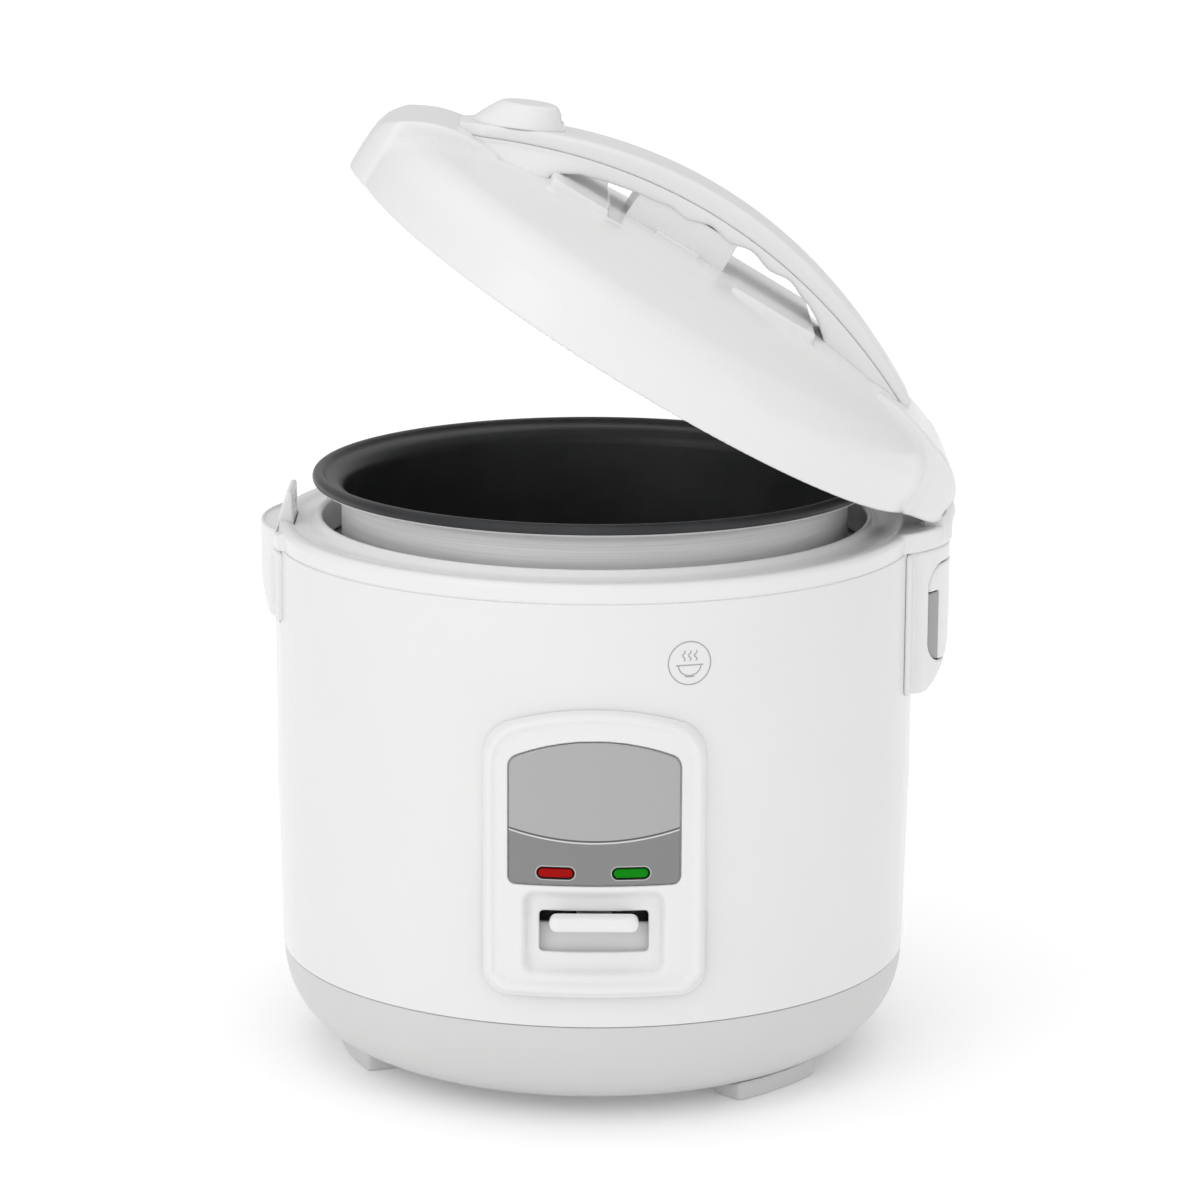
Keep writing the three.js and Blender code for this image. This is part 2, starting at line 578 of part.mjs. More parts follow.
function makeSwitch() {
  const half = 18;
  const knobShape = new THREE.Shape();
  knobShape.moveTo(-134, 86).lineTo(-139, 85.6).quadraticCurveTo(-141.4, 85.8, -141.4, 88.5);
  knobShape.lineTo(-141.2, 91).quadraticCurveTo(-141, 93.4, -138.6, 93.4).lineTo(-134, 93.2);
  const knob = sideways(knobShape, PANEL_X - half, PANEL_X + half)
    .intersect(raised(pillPlan(PANEL_X, -137.4, half, 3.9), 80, 100));
  const arm = sideways([
    [-137, 86.6], [-121, 86.2], [-118, 58], [-112, 51], [-70, 50], [-40, 44], [-4, 36.8],
    [8, 36.8], [8, 40], [-3, 40.6], [-40, 50], [-60, 66], [-72, 66.4], [-108, 62.6], [-111, 68],
    [-113, 88], [-116, 91.2], [-137, 91.4],
  ], PANEL_X - 7, PANEL_X + 7);
  // A curved shield, concentric with the axle, closes the slot below the knob from behind.
  const shieldLine = (radius, angles) => angles.map((a) => [
    SWITCH_Y - radius * Math.cos(a * RAD), SWITCH_Z + radius * Math.sin(a * RAD)]);
  const back = shieldLine(SHIELD_R - SHIELD_WALL, [...SHIELD_SWEEP].reverse());
  const shield = sideways([...shieldLine(SHIELD_R, SHIELD_SWEEP), ...back],
    PANEL_X - SHIELD_HALF, PANEL_X + SHIELD_HALF);
  const axle = bar(SWITCH_PIN_R + PIN_ROOM, [-20, SWITCH_Y, SWITCH_Z], [20, SWITCH_Y, SWITCH_Z]);
  add(body, 'switch_lever', cut(join(knob, arm, shield), axle), plastic(0xf0f0ef, 0.3));

  const cheek = (x) => sideways([[-76, 7.6], [-56, 7.6], [-61, 66], [-71, 66]], x, x + 1.6);
  const stand = (radius, top) => bar(radius, [PANEL_X, SPRING_Y, 8], [PANEL_X, SPRING_Y, top], 12);
  let frame = join(box(PANEL_X - 9.2, PANEL_X + 9.2, SPRING_Y - 5, -56, 7.6, 9.2),
    cheek(PANEL_X - 9.2), cheek(PANEL_X + 7.6), stand(5, 34), stand(2, 40));
  frame = cut(frame, bar(SWITCH_PIN_R + PIN_ROOM, [-20, SWITCH_Y, SWITCH_Z], [20, SWITCH_Y, SWITCH_Z]));
  add(body, 'switch_frame', frame, steel());
  const pin = bar(SWITCH_PIN_R, [PANEL_X - 11, SWITCH_Y, SWITCH_Z], [PANEL_X + 11, SWITCH_Y, SWITCH_Z], 16);
  add(body, 'switch_pin', pin, steel());
  const spring = coil(3.6, 14.2, 4, 0.9).translate([PANEL_X, SPRING_Y, 35]);
  add(body, 'switch_spring', spring, steel());

  let micro = box(PANEL_X + 10.5, PANEL_X + 17, -58, -38, 10, 34);
  micro = join(micro, bar(1.2, [PANEL_X + 13.7, -54, 33], [PANEL_X + 13.7, -54, 37], 10));
  for (const y of [-55, -48, -41]) {
    micro = join(micro, box(PANEL_X + 12.9, PANEL_X + 14.6, y - 1.6, y + 1.6, 7.8, 11));
  }
  add(body, 'micro_switch', micro, plastic(0x202124, 0.5));
}

// Plan of a bar along X with rounded ends.
function pillPlan(x, y, half, round) {
  const shape = new THREE.Shape();
  shape.moveTo(x - half + round, y - round).lineTo(x + half - round, y - round);
  shape.absarc(x + half - round, y, round, -Math.PI / 2, Math.PI / 2);
  shape.lineTo(x - half + round, y + round);
  shape.absarc(x - half + round, y, round, Math.PI / 2, 1.5 * Math.PI);
  return shape;
}

// ---------------------------------------------------------------- lid
const DOME = [
  [132, 0.6], [132, 10], [131, 18.5], [127.6, 24.8], [122.5, 28.6], [116, 31.3],
  [80, 39.4], [50, 42.9], [0, 44.2],
];
const DOME_INSIDE = [
  [129.8, 0.6], [129.8, 9.6], [128.7, 17.8], [125.8, 23], [121.5, 26.4],
  [115.3, 29], [79.5, 37.1], [49.7, 40.7], [0, 42],
];
const PAD = { x0: -66, x1: 57, half: 46, top: 44.6 };
const LATCH_BOSS = [
  [-137.6, 1], [-137.4, 10], [-136.2, 20.4], [-133.6, 25.7], [-130, 29.3], [-126.1, 32.1],
  [-117.3, 36.3], [-104, 39], [-90, 38.6], [-90, 33], [-110, 24], [-112, 1],
];
const HINGE_BOSS = [
  [124, 0.6], [HINGE_X, 0.6], [146.2, 3], [147.6, 6.6], [146, 11.5], [142.6, 17.5], [136.4, 23.6],
  [129.3, 28.2], [122.2, 30.6], [114.4, 33.4], [100, 36.6], [92, 37.2], [92, 30], [116, 20],
];
const LATCH_BOSS_ARC = { x: -77.4, r: 60.2 };
const HINGE_BOSS_ARC = { x: 100, r: 47.8 };

// The lid's outer form as one solid, grown by a margin.
function lidForm(margin) {
  const dome = turned([...DOME.map(([r, h]) => [r + margin * (r > 125 ? 1 : 0), h + margin]), [0, 0.6]]);
  const pad = box(PAD.x0, PAD.x1, -PAD.half, PAD.half, 30, PAD.top + margin);
  const latchBoss = across(LATCH_BOSS.map(([x, h]) => [x, h + (h > 30 ? margin : 0)]), -30, 30)
    .intersect(disc(LATCH_BOSS_ARC, 0, 60, 0));
  const hingeBoss = across(HINGE_BOSS.map(([x, h]) => [x, h + (h > 30 ? margin : 0)]), -39, 39)
    .intersect(disc(HINGE_BOSS_ARC, 0, 60, 0));
  return join(dome, pad, latchBoss, hingeBoss);
}

// A bar along the steam vent's tilted axis, from one distance below its seat to another.
function alongVent(radius, from, to, sides = 24) {
  const seat = handleBack(VENT_X);
  const at = (s) => [
    VENT_X - s * Math.sin(VENT_TILT * RAD), 0, seat + s * Math.cos(VENT_TILT * RAD),
  ];
  return bar(radius, at(from), at(to), sides);
}

const handleBack = (x) => HANDLE_TOP - (x - HANDLE_MID_X) ** 2 / (2 * HANDLE_R);
const handleSeam = (x) => SEAM_TOP - (x - HANDLE_MID_X) ** 2 / (2 * SEAM_R);

function makeLidShell() {
  const dome = turned([...DOME_INSIDE, [0, -5], [129.8, -5]]);
  const latchRoom = across(LATCH_BOSS.map(([x, h]) => [x + 2.3, h < 2 ? -4 : h - 2.4]), -27.8, 27.8)
    .intersect(disc(LATCH_BOSS_ARC, -9, 60, -2.3));
  const hingeRoom = box(116, 133.4, -30.5, 30.5, -4, 22);
  const cavity = box(PAD.x0 + 4, PAD.x1 - 4, -40, 40, 30, 41);
  let shell = cut(lidForm(0), dome, latchRoom, hingeRoom, cavity);
  for (const side of [-1, 1]) {
    const [a, b] = [12, 18.4].map((y) => y * side).sort((p, q) => p - q);
    shell = cut(shell, box(133, 150, a, b, -3, 14.4));
  }
  const pivot = [HINGE_X, HINGE_Z - RING_TOP];
  shell = cut(shell, box(133, 150, -4.7, 4.7, -3, 13.4));
  shell = cut(shell, bar(HINGE_PIN_R + PIN_ROOM, [pivot[0], -20, pivot[1]], [pivot[0], 20, pivot[1]]));
  shell = cut(shell, alongVent(8.3, -40, 5));
  add(lid, 'lid_shell', shell, white());
}

function makeHandle() {
  const steps = 20;
  const backLine = (from, to, height) => {
    const line = [];
    for (let i = 0; i <= steps; i += 1) {
      const x = from + ((to - from) * i) / steps;
      line.push([x, height(x)]);
    }
    return line;
  };
  // Finger grooves: the underside rises and falls at the pitch of four fingers.
  const wave = (x) => GROOVE_DEPTH * Math.cos((x / FINGER_PITCH) * 2 * Math.PI);
  const grooves = backLine(46, -22, (x) => 56.6 - 0.0028 * (x - 8) ** 2 + wave(x));
  const underside = [
    [63, 42], [57, 47], [51, 50.4], ...grooves, [-33, 53.4], [-44, 51.2], [-56, 48], [-63, 44.6], [-66, 42],
  ];
  const gripOutline = [
    [-112, 30], ...backLine(-103, 97, (x) => handleSeam(x) - GAP), [106, 30], [70, 30], ...underside,
    [-70, 30],
  ];
  const coverOutline = [
    ...backLine(-103.5, 103.5, handleBack), ...backLine(98, -99, handleSeam),
  ];
  const form = lidForm(GAP);
  const ventHole = alongVent(8.3, -40, 5);
  const grip = cut(across(gripOutline, -HANDLE_HALF, HANDLE_HALF), form, ventHole);
  add(lid, 'handle_grip', grip, white());
  const cover = cut(across(coverOutline, -HANDLE_HALF + 0.4, HANDLE_HALF - 0.4), form, ventHole);
  add(lid, 'handle_cover', cover, plastic(0xe9e9e8, 0.34));
  const floor = PAD.top + GAP;
  const post = join(
    across([[-32, floor], [14, floor], [13.4, 54.6], [0, 55], [-20, 54.6], [-31.4, 52.6]], -18, 18),
    box(-18, 2, -24, -17, floor, floor + 2.4),
  );
  add(lid, 'handle_post', post, plastic(0xe6e6e5, 0.36));
}

function makeVent() {
  const seat = handleBack(VENT_X);
  // An oblique frustum: its top leans back towards the hinge.
  const cone = new THREE.CylinderGeometry(10.5, VENT_BASE_R, 9.6, 40).rotateX(Math.PI / 2);
  const skew = new THREE.Matrix4().makeShear(0, 0, 0, 0, 3.5 / 9.6, 0);
  cone.translate(0, 0, 4.8).applyMatrix4(skew);
  const capForm = join(solid(cone), bar(6, [0, 0, -7], [0, 0, 1]));
  const slot = box(8, 20, -5, 5, 2.4, 4.4);
  const cap = cut(capForm, slot).rotate([0, -VENT_TILT, 0])
    .translate([VENT_X - 0.4 * Math.sin(VENT_TILT * RAD), 0, seat + 0.4 * Math.cos(VENT_TILT * RAD)]);
  add(lid, 'steam_vent_cap', cap, plastic(0xf0f0ef, 0.35));
  const tubeBody = cut(alongVent(8, -24.5, -0.6), alongVent(6.5, -30, 2));
  add(lid, 'steam_vent_tube', tubeBody, plastic(0xdededc, 0.5));
}

function makeLidInside() {
  let liner = turned([[0, 23], [LINER_R - GAP, 23], [LINER_R - GAP, 24.5], [0, 24.5]]);
  liner = cut(liner, bar(8, [-76, 0, 20], [-76, 0, 28]), bar(5, [0, 0, 20], [0, 0, 28]));
  const screws = [[0, 100], [0, -100]];
  for (const [x, y] of screws) liner = cut(liner, bar(2, [x, y, 20], [x, y, 28], 12));
  add(lid, 'lid_liner', liner, plastic(0xe4e4e2, 0.4));
  const skirt = turned([
    [LINER_R, 1], [129.4, 1], [129.4, 2.5], [LINER_R + 1.5, 2.5], [LINER_R + 1.5, 24.5], [LINER_R, 24.5],
  ]);
  const hookRoom = box(-140, -121.5, -17, 17, -2, 20);
  const barrelRoom = box(118.6, 140, -37, 37, -2, 8);
  add(lid, 'liner_skirt', cut(skirt, hookRoom, barrelRoom), plastic(0xe4e4e2, 0.4));
  screws.forEach(([x, y], i) => {
    const screw = join(bar(3.2, [x, y, 21.9], [x, y, 22.8]), bar(1.6, [x, y, 22.6], [x, y, 31], 12));
    add(lid, `liner_screw_${i + 1}`, screw, steel());
  });

  let sheet = turned([[0, 20.6], [112, 20.6], [112, 21.6], [0, 21.6]]);
  sheet = cut(sheet, bar(5, [0, 0, 10], [0, 0, 30]));
  for (let i = 0; i < 6; i += 1) {
    const a = (i / 6) * 2 * Math.PI;
    const [x, y] = [45 * Math.cos(a), 45 * Math.sin(a)];
    sheet = cut(sheet, bar(2.2, [x, y, 10], [x, y, 30], 8));
  }
  add(lid, 'inner_lid', sheet, metal(0xc2c4c6, 0.35));
  const gasket = turned([[112.3, 20.3], [117.6, 20.3], [118.9, 21], [118.9, 22.7], [112.3, 22.7]]);
  add(lid, 'lid_gasket', gasket, plastic(0xd6d4ce, 0.8));
  const stud = turned([
    [0, 15.4], [7, 15.4], [9.6, 17], [9.6, 19.4], [8.6, 20.3], [4.6, 20.3], [4.6, 24.8], [8, 24.8],
    [8, 27], [0, 27],
  ], 18);
  add(lid, 'inner_lid_stud', stud, plastic(0xb9b6ae, 0.7));
  const keeper = box(-133, -122.2, -24, 24, 13.6, 14.8);
  add(lid, 'latch_keeper', keeper.intersect(disc(LATCH_BOSS_ARC, 10, 30, -2.8)), steel());
}

makeBase();
makeFeet();
makeInlet();
makeShell();
makeTopRing();
makeWell();
makeHeater();
makeThermostat();
makeElectrics();
makePot();
makeLatch();
makeHingeHousing();
makePanel();
makeSwitch();
makeLidShell();
makeHandle();
makeVent();
makeLidInside();

export default object;
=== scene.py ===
import json
import math

import bpy
import numpy as np
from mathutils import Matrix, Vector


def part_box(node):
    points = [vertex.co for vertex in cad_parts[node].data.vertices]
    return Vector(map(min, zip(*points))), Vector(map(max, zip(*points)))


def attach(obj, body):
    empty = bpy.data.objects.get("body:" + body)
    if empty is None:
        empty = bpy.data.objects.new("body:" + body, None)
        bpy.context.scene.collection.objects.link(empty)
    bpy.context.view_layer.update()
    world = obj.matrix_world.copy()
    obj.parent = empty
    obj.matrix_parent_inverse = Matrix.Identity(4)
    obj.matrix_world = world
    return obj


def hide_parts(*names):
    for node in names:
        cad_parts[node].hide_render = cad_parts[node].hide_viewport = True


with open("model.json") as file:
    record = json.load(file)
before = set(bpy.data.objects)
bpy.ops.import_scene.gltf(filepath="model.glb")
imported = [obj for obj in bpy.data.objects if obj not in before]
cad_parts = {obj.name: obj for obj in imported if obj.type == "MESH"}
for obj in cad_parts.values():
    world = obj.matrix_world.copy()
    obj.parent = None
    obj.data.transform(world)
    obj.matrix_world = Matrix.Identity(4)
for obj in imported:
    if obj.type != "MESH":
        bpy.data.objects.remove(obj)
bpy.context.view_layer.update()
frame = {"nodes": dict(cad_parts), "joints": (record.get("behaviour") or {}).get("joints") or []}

import openvdb
from mathutils import Matrix

# A rice cooker: fine surfaces, materials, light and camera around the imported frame.
# Pieces are worked out in millimetres from the body's upright axis (+X to the hinge, -Y to the
# user, Z from the table), and lid pieces in the closed lid's own millimetres (h above its rim).
MM = 0.001

shell_low, shell_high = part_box("outer_shell")
AXIS_X = (shell_low[0] + shell_high[0]) / 2
AXIS_Y = (shell_low[1] + shell_high[1]) / 2
lid_joint = next(j for j in frame["joints"] if j["name"] == "lid_hinge")
HINGE_X = (lid_joint["pos_m"][0] - AXIS_X) / MM
HINGE_Z = lid_joint["pos_m"][2] / MM
RING_TOP = 224.6  # the plane that the closed lid meets
HINGE_H = HINGE_Z - RING_TOP  # the hinge pin's height in the lid's own millimetres
LID_OPEN = math.radians(31)

SHELL_R = 132
SHELL_FOOT_R = 130
SHELL_TOP = 216.4
SHELL_WALL = 1.6
BASE_TOP = 44.6
BASE_R = 129.7
BASE_FLOOR = 4.8
LIP_TOP = 226.6  # the top ring's inner lip
STRIP_FACE_R = 134.2  # the face of the strips beside the latch
PANEL_X = 0.6
POT_R = 104.5
POT_TOP = 244.6
POT_RIM = 116.4
PIN_HOLE_R = 2.25
NOTCH_R = 1.0  # a small notch at the top of each strip beside the ring
LATCH_PIN = (-126, 207)  # x and z
SWITCH_PIN = (-66, 60)  # y and z
SEGMENTS = 224  # round a large turned piece
SMALL_SEGMENTS = 160  # round a hidden turned piece


# ---------------------------------------------------------------- placing
def on_body(points):
    """Body millimetres to the frame's metres."""
    return points * MM + np.array([AXIS_X, AXIS_Y, 0])


def on_lid(points):
    """Closed-lid millimetres to the frame's metres, with the lid as it stands open."""
    along, up = points[:, 0] - HINGE_X, points[:, 2] - HINGE_H
    c, s = math.cos(LID_OPEN), math.sin(LID_OPEN)
    x = HINGE_X + along * c + up * s
    z = HINGE_Z - along * s + up * c
    return on_body(np.stack([x, points[:, 1], z], axis=1))


# ---------------------------------------------------------------- distance fields
# Each takes broadcasting arrays of millimetres, and is negative inside.
def smin(a, b, k):
    """The union of two forms, with a fillet of about k."""
    h = np.maximum(k - np.abs(a - b), 0)
    return np.minimum(a, b) - h * h / (4 * k)


def smax(a, b, k):
    """What two forms share, with a rounded edge of about k."""
    h = np.maximum(k - np.abs(a - b), 0)
    return np.maximum(a, b) + h * h / (4 * k)


def slab(u, low, high):
    return np.abs(u - (low + high) / 2) - (high - low) / 2


def disc(u, v, centre_u, centre_v, radius):
    return np.hypot(u - centre_u, v - centre_v) - radius


def brick(u, v, u0, u1, v0, v1, corner=0.0):
    """A rectangle with round corners."""
    du = slab(u, u0, u1) + corner
    dv = slab(v, v0, v1) + corner
    return np.hypot(np.maximum(du, 0), np.maximum(dv, 0)) + np.minimum(np.maximum(du, dv), 0) - corner


def polygon(u, v, points):
    shape = np.broadcast(u, v).shape
    nearest = np.full(shape, 1e9, np.float32)
    inside = np.zeros(shape, bool)
    for (u0, v0), (u1, v1) in zip(points, points[1:] + points[:1]):
        du, dv = u1 - u0, v1 - v0
        if du == 0 and dv == 0:
            continue
        t = np.clip(((u - u0) * du + (v - v0) * dv) / (du * du + dv * dv), 0, 1)
        nearest = np.minimum(nearest, (u - u0 - t * du) ** 2 + (v - v0 - t * dv) ** 2)
        if dv != 0:
            crosses = ((v0 <= v) & (v < v1)) | ((v1 <= v) & (v < v0))
            inside ^= crosses & (u < u0 + (v - v0) * du / dv)
    return np.where(inside, -1, 1).astype(np.float32) * np.sqrt(nearest)


def flow(points, per=6):
    """A smooth line through the points."""
    before = np.subtract(np.multiply(points[0], 2), points[1])
    after = np.subtract(np.multiply(points[-1], 2), points[-2])
    p = [np.array(q, float) for q in [before, *points, after]]
    line = []
    for a, b, c, d in zip(p, p[1:], p[2:], p[3:]):
        for i in range(per):
            t = i / per
            line.append(tuple(0.5 * (2 * b + (c - a) * t + (2 * a - 5 * b + 4 * c - d) * t * t
                                     + (3 * b - a - 3 * c + d) * t ** 3)))
    return line + [tuple(points[-1])]


TABLE_STEP = 0.25


def turned_form(x, y, z, outline):
    """An outline of (radius, height) turned about the upright axis."""
    r = np.hypot(x, y)
    radii = np.arange(0, r.max() + 3 * TABLE_STEP, TABLE_STEP, dtype=np.float32)
    table = polygon(radii[:, None], z.reshape(1, -1), outline)
    at = r[..., 0] / TABLE_STEP
    row = at.astype(int)
    part = (at - row)[..., None]
    return table[row] * (1 - part) + table[row + 1] * part


def grid(low, high, step):
    axes = [np.arange(a, b + step, step, dtype=np.float32) for a, b in zip(low, high)]
    return axes[0][:, None, None], axes[1][None, :, None], axes[2][None, None, :]


def relax(points, quads, times):
    """Evens out the last grid traces, shrinking nothing: each pass in is followed by one out."""
    links = np.concatenate([quads[:, [0, 1]], quads[:, [1, 2]], quads[:, [2, 3]], quads[:, [3, 0]]])
    count = np.bincount(links.ravel(), minlength=len(points))[:, None]
    for _ in range(times):
        for factor in (0.5, -0.52):
            total = np.stack([
                np.bincount(links[:, 0], points[links[:, 1], k], len(points))
                + np.bincount(links[:, 1], points[links[:, 0], k], len(points)) for k in range(3)], axis=1)
            points = points + factor * (total / count - points)
    return points


def surface(field, low, step, passes=2):
    """The zero surface of a field sampled on a grid: points in millimetres, and quads."""
    volume = openvdb.FloatGrid(10.0)
    volume.copyFromArray(np.ascontiguousarray(field, dtype=np.float32))
    points, quads = volume.convertToQuads(isovalue=0.0)
    points = np.array(points, np.float64)
    quads = np.array(quads, np.int64)
    points = relax(points, quads, passes) * step + np.array(low)
    a, b, c, d = (points[quads[:, i]] for i in range(4))
    volume_sign = np.einsum("ij,ij->i", a, np.cross(b, c) + np.cross(c, d)).sum()
    return points, quads if volume_sign > 0 else quads[:, ::-1]


# ---------------------------------------------------------------- pieces
def add_object(name, data):
    added = bpy.data.objects.new(name, data)
    bpy.context.scene.collection.objects.link(added)
    return added


def place_mesh(name, points, faces, body, slot, material, replaces=(), place=on_body):
    """Adds a visible piece from points in millimetres and lists of corners."""
    mesh = bpy.data.meshes.new(name)
    mesh.from_pydata(place(points).tolist(), [], faces)
    mesh.shade_smooth()
    mesh.materials.append(material)
    piece = add_object(name, mesh)
    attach(piece, body)
    if replaces:
        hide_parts(*replaces)
    return piece


def sculpt(name, low, high, step, form, **where):
    """A moulded piece from a distance field."""
    x, y, z = grid(low, high, step)
    points, quads = surface(form(x, y, z), low, step)
    return place_mesh(name, points, quads.tolist(), **where)


def eased(outline, radius, steps=4):
    """An outline with each corner rounded off to a radius, or less where the sides are short."""
    points = [np.array(p, float) for p in outline]
    line = []
    for i, corner in enumerate(points):
        before = points[i - 1] - corner
        after = points[(i + 1) % len(points)] - corner
        la, lb = np.linalg.norm(before), np.linalg.norm(after)
        if corner[0] < 1e-6 or la < 1e-6 or lb < 1e-6:
            line.append(tuple(corner))
            continue
        half = 0.5 * math.acos(np.clip(np.dot(before, after) / (la * lb), -1, 1))
        cut = min(radius / max(math.tan(half), 1e-3), 0.45 * la, 0.45 * lb)
        start, end = corner + before / la * cut, corner + after / lb * cut
        for j in range(steps + 1):
            t = j / steps
            line.append(tuple((1 - t) ** 2 * start + 2 * t * (1 - t) * corner + t * t * end))
    return line


def lathe(name, outline, segments=SEGMENTS, **where):
    """A closed outline of (radius, height), or one that starts and ends on the axis, turned."""
    on_axis = [r < 1e-6 for r, _ in outline]
    angles = np.linspace(0, 2 * math.pi, segments, endpoint=False)
    points, rings = [], []
    for (r, z), centred in zip(outline, on_axis):
        rings.append(len(points))
        if centred:
            points.append((0, 0, z))
        else:
            points.extend((r * math.cos(a), r * math.sin(a), z) for a in angles)
    faces = []
    count = len(outline)
    for i in range(count):
        j = (i + 1) % count
        if on_axis[i] and on_axis[j]:
            continue
        for k in range(segments):
            n = (k + 1) % segments
            a = [rings[i]] if on_axis[i] else [rings[i] + n, rings[i] + k]
            b = [rings[j]] if on_axis[j] else [rings[j] + k, rings[j] + n]
            faces.append(a + b)
    points = np.array(points, float)
    corners = points[np.array([face[:3] for face in faces])]
    if np.einsum("ij,ij->i", corners[:, 0], np.cross(corners[:, 1], corners[:, 2])).sum() < 0:
        faces = [face[::-1] for face in faces]
    return place_mesh(name, points, faces, **where)


SHARP_ANGLE = math.radians(32)  # a carved piece is shaded smooth below this


def carve(piece, *cutters, place=on_body):
    """Cuts boxes, (x0, x1, y0, y1, z0, z1) in millimetres, out of a piece."""
    for x0, x1, y0, y1, z0, z1 in cutters:
        corners = np.array([(x, y, z) for x in (x0, x1) for y in (y0, y1) for z in (z0, z1)], float)
        faces = [(0, 1, 3, 2), (4, 6, 7, 5), (0, 4, 5, 1), (2, 3, 7, 6), (0, 2, 6, 4), (1, 5, 7, 3)]
        mesh = bpy.data.meshes.new("cutter")
        mesh.from_pydata(place(corners).tolist(), [], faces)
        cutter = add_object("cutter", mesh)
        step = piece.modifiers.new("cut", "BOOLEAN")
        step.operation = "DIFFERENCE"
        step.object = cutter
        step.solver = "EXACT"
        bpy.context.view_layer.update()
        result = bpy.data.meshes.new_from_object(piece.evaluated_get(bpy.context.evaluated_depsgraph_get()))
        piece.modifiers.clear()
        piece.data = result
        bpy.data.objects.remove(cutter)
    piece.data.shade_smooth()
    piece.data.set_sharp_from_angle(angle=SHARP_ANGLE)


# ---------------------------------------------------------------- materials
def shader(name):
    material = bpy.data.materials.new(name)
    material.use_nodes = True
    nodes = material.node_tree.nodes
    return material, nodes, material.node_tree.links, nodes["Principled BSDF"]


def mixed(nodes, links, noise, low, high):
    """A colour that drifts between two with a noise."""
    ramp = nodes.new("ShaderNodeValToRGB")
    ramp.color_ramp.elements[0].position = 0.3
    ramp.color_ramp.elements[1].position = 0.7
    ramp.color_ramp.elements[0].color = (*low, 1)
    ramp.color_ramp.elements[1].color = (*high, 1)
    links.new(noise.outputs["Fac"], ramp.inputs["Fac"])
    return ramp


def noise_of(nodes, links, scale, detail=3.0, stretch=(1, 1, 1)):
    place = nodes.new("ShaderNodeTexCoord")
    mapping = nodes.new("ShaderNodeMapping")
    mapping.inputs["Scale"].default_value = stretch
    noise = nodes.new("ShaderNodeTexNoise")
    noise.inputs["Scale"].default_value = scale
    noise.inputs["Detail"].default_value = detail
    links.new(place.outputs["Object"], mapping.inputs["Vector"])
    links.new(mapping.outputs["Vector"], noise.inputs["Vector"])
    return noise


def bumped(nodes, links, bsdf, noise, strength, distance=0.0002):
    bump = nodes.new("ShaderNodeBump")
    bump.inputs["Strength"].default_value = strength
    bump.inputs["Distance"].default_value = distance
    links.new(noise.outputs["Fac"], bump.inputs["Height"])
    links.new(bump.outputs["Normal"], bsdf.inputs["Normal"])


def varied_roughness(nodes, links, bsdf, noise, low, high):
    span = nodes.new("ShaderNodeMapRange")
    span.inputs["To Min"].default_value = low
    span.inputs["To Max"].default_value = high
    links.new(noise.outputs["Fac"], span.inputs["Value"])
    links.new(span.outputs["Result"], bsdf.inputs["Roughness"])


def calculator(nodes, links):
    """A function that adds a maths node to a tree and gives back its result."""
    def calc(operation, *values):
        node = nodes.new("ShaderNodeMath")
        node.operation = operation
        for socket, value in zip(node.inputs, values):
            if isinstance(value, (int, float)):
                socket.default_value = value
            else:
                links.new(value, socket)
        return node.outputs["Value"]

    return calc


def moulded_plastic(name, colour, roughness, grain=900, relief=0.05, drift=0.012, gloss=0.5):
    """Moulded plastic: a fine moulding grain, and faint cloudiness in colour and gloss."""
    material, nodes, links, bsdf = shader(name)
    cloud = noise_of(nodes, links, 18)
    dark = tuple(max(c - drift, 0) for c in colour)
    links.new(mixed(nodes, links, cloud, dark, colour).outputs["Color"], bsdf.inputs["Base Color"])
    fine = noise_of(nodes, links, grain, 2)
    varied_roughness(nodes, links, bsdf, fine, roughness * 0.85, roughness * 1.15)
    bumped(nodes, links, bsdf, fine, relief)
    bsdf.inputs["IOR"].default_value = 1.5
    bsdf.inputs["Specular IOR Level"].default_value = gloss
    return material


def brushed_metal(name, colour, roughness, stretch, relief=0.12, scale=260, metallic=1.0):
    """Metal with drawn or spun scratches, stretched along the way it was worked."""
    material, nodes, links, bsdf = shader(name)
    bsdf.inputs["Metallic"].default_value = metallic
    scratch = noise_of(nodes, links, scale, 4, stretch)
    dark = tuple(c * 0.86 for c in colour)
    links.new(mixed(nodes, links, scratch, dark, colour).outputs["Color"], bsdf.inputs["Base Color"])
    varied_roughness(nodes, links, bsdf, scratch, roughness * 0.75, roughness * 1.25)
    bumped(nodes, links, bsdf, scratch, relief)
    return material


WHITE = moulded_plastic("gloss_white_plastic", (0.785, 0.785, 0.782), 0.22)
WHITE_PART = dict(slot="white_plastic", material=WHITE)
WHITE_SATIN = moulded_plastic("satin_white_plastic", (0.77, 0.77, 0.767), 0.34, relief=0.08)
PAINT = moulded_plastic("white_enamel_paint", (0.775, 0.775, 0.772), 0.16, grain=420, relief=0.025, gloss=0.3)
# The base's grey is partly its own, slightly greyer plastic and partly painted shade: darkened to stand for
# the shade low on the base and feet.
BASE_GREY_WITH_PAINTED_SHADE = moulded_plastic("base_plastic", (0.62, 0.62, 0.617), 0.36, relief=0.1)
LINER = moulded_plastic("liner_plastic", (0.74, 0.74, 0.73), 0.4, relief=0.1)
SMOKE = moulded_plastic("smoke_plastic", (0.34, 0.34, 0.345), 0.2, gloss=0.3)
BLACK = moulded_plastic("black_plastic", (0.018, 0.018, 0.02), 0.42, relief=0.16, drift=0.004)
RUBBER = moulded_plastic("silicone_rubber", (0.6, 0.59, 0.56), 0.6, relief=0.12, drift=0.03)
RED = moulded_plastic("red_lens_plastic", (0.34, 0.002, 0.002), 0.3, drift=0.01, gloss=0.1)
GREEN = moulded_plastic("green_lens_plastic", (0.001, 0.22, 0.004), 0.3, drift=0.004, gloss=0.1)
PRINT = moulded_plastic("grey_print", (0.36, 0.36, 0.36), 0.45)
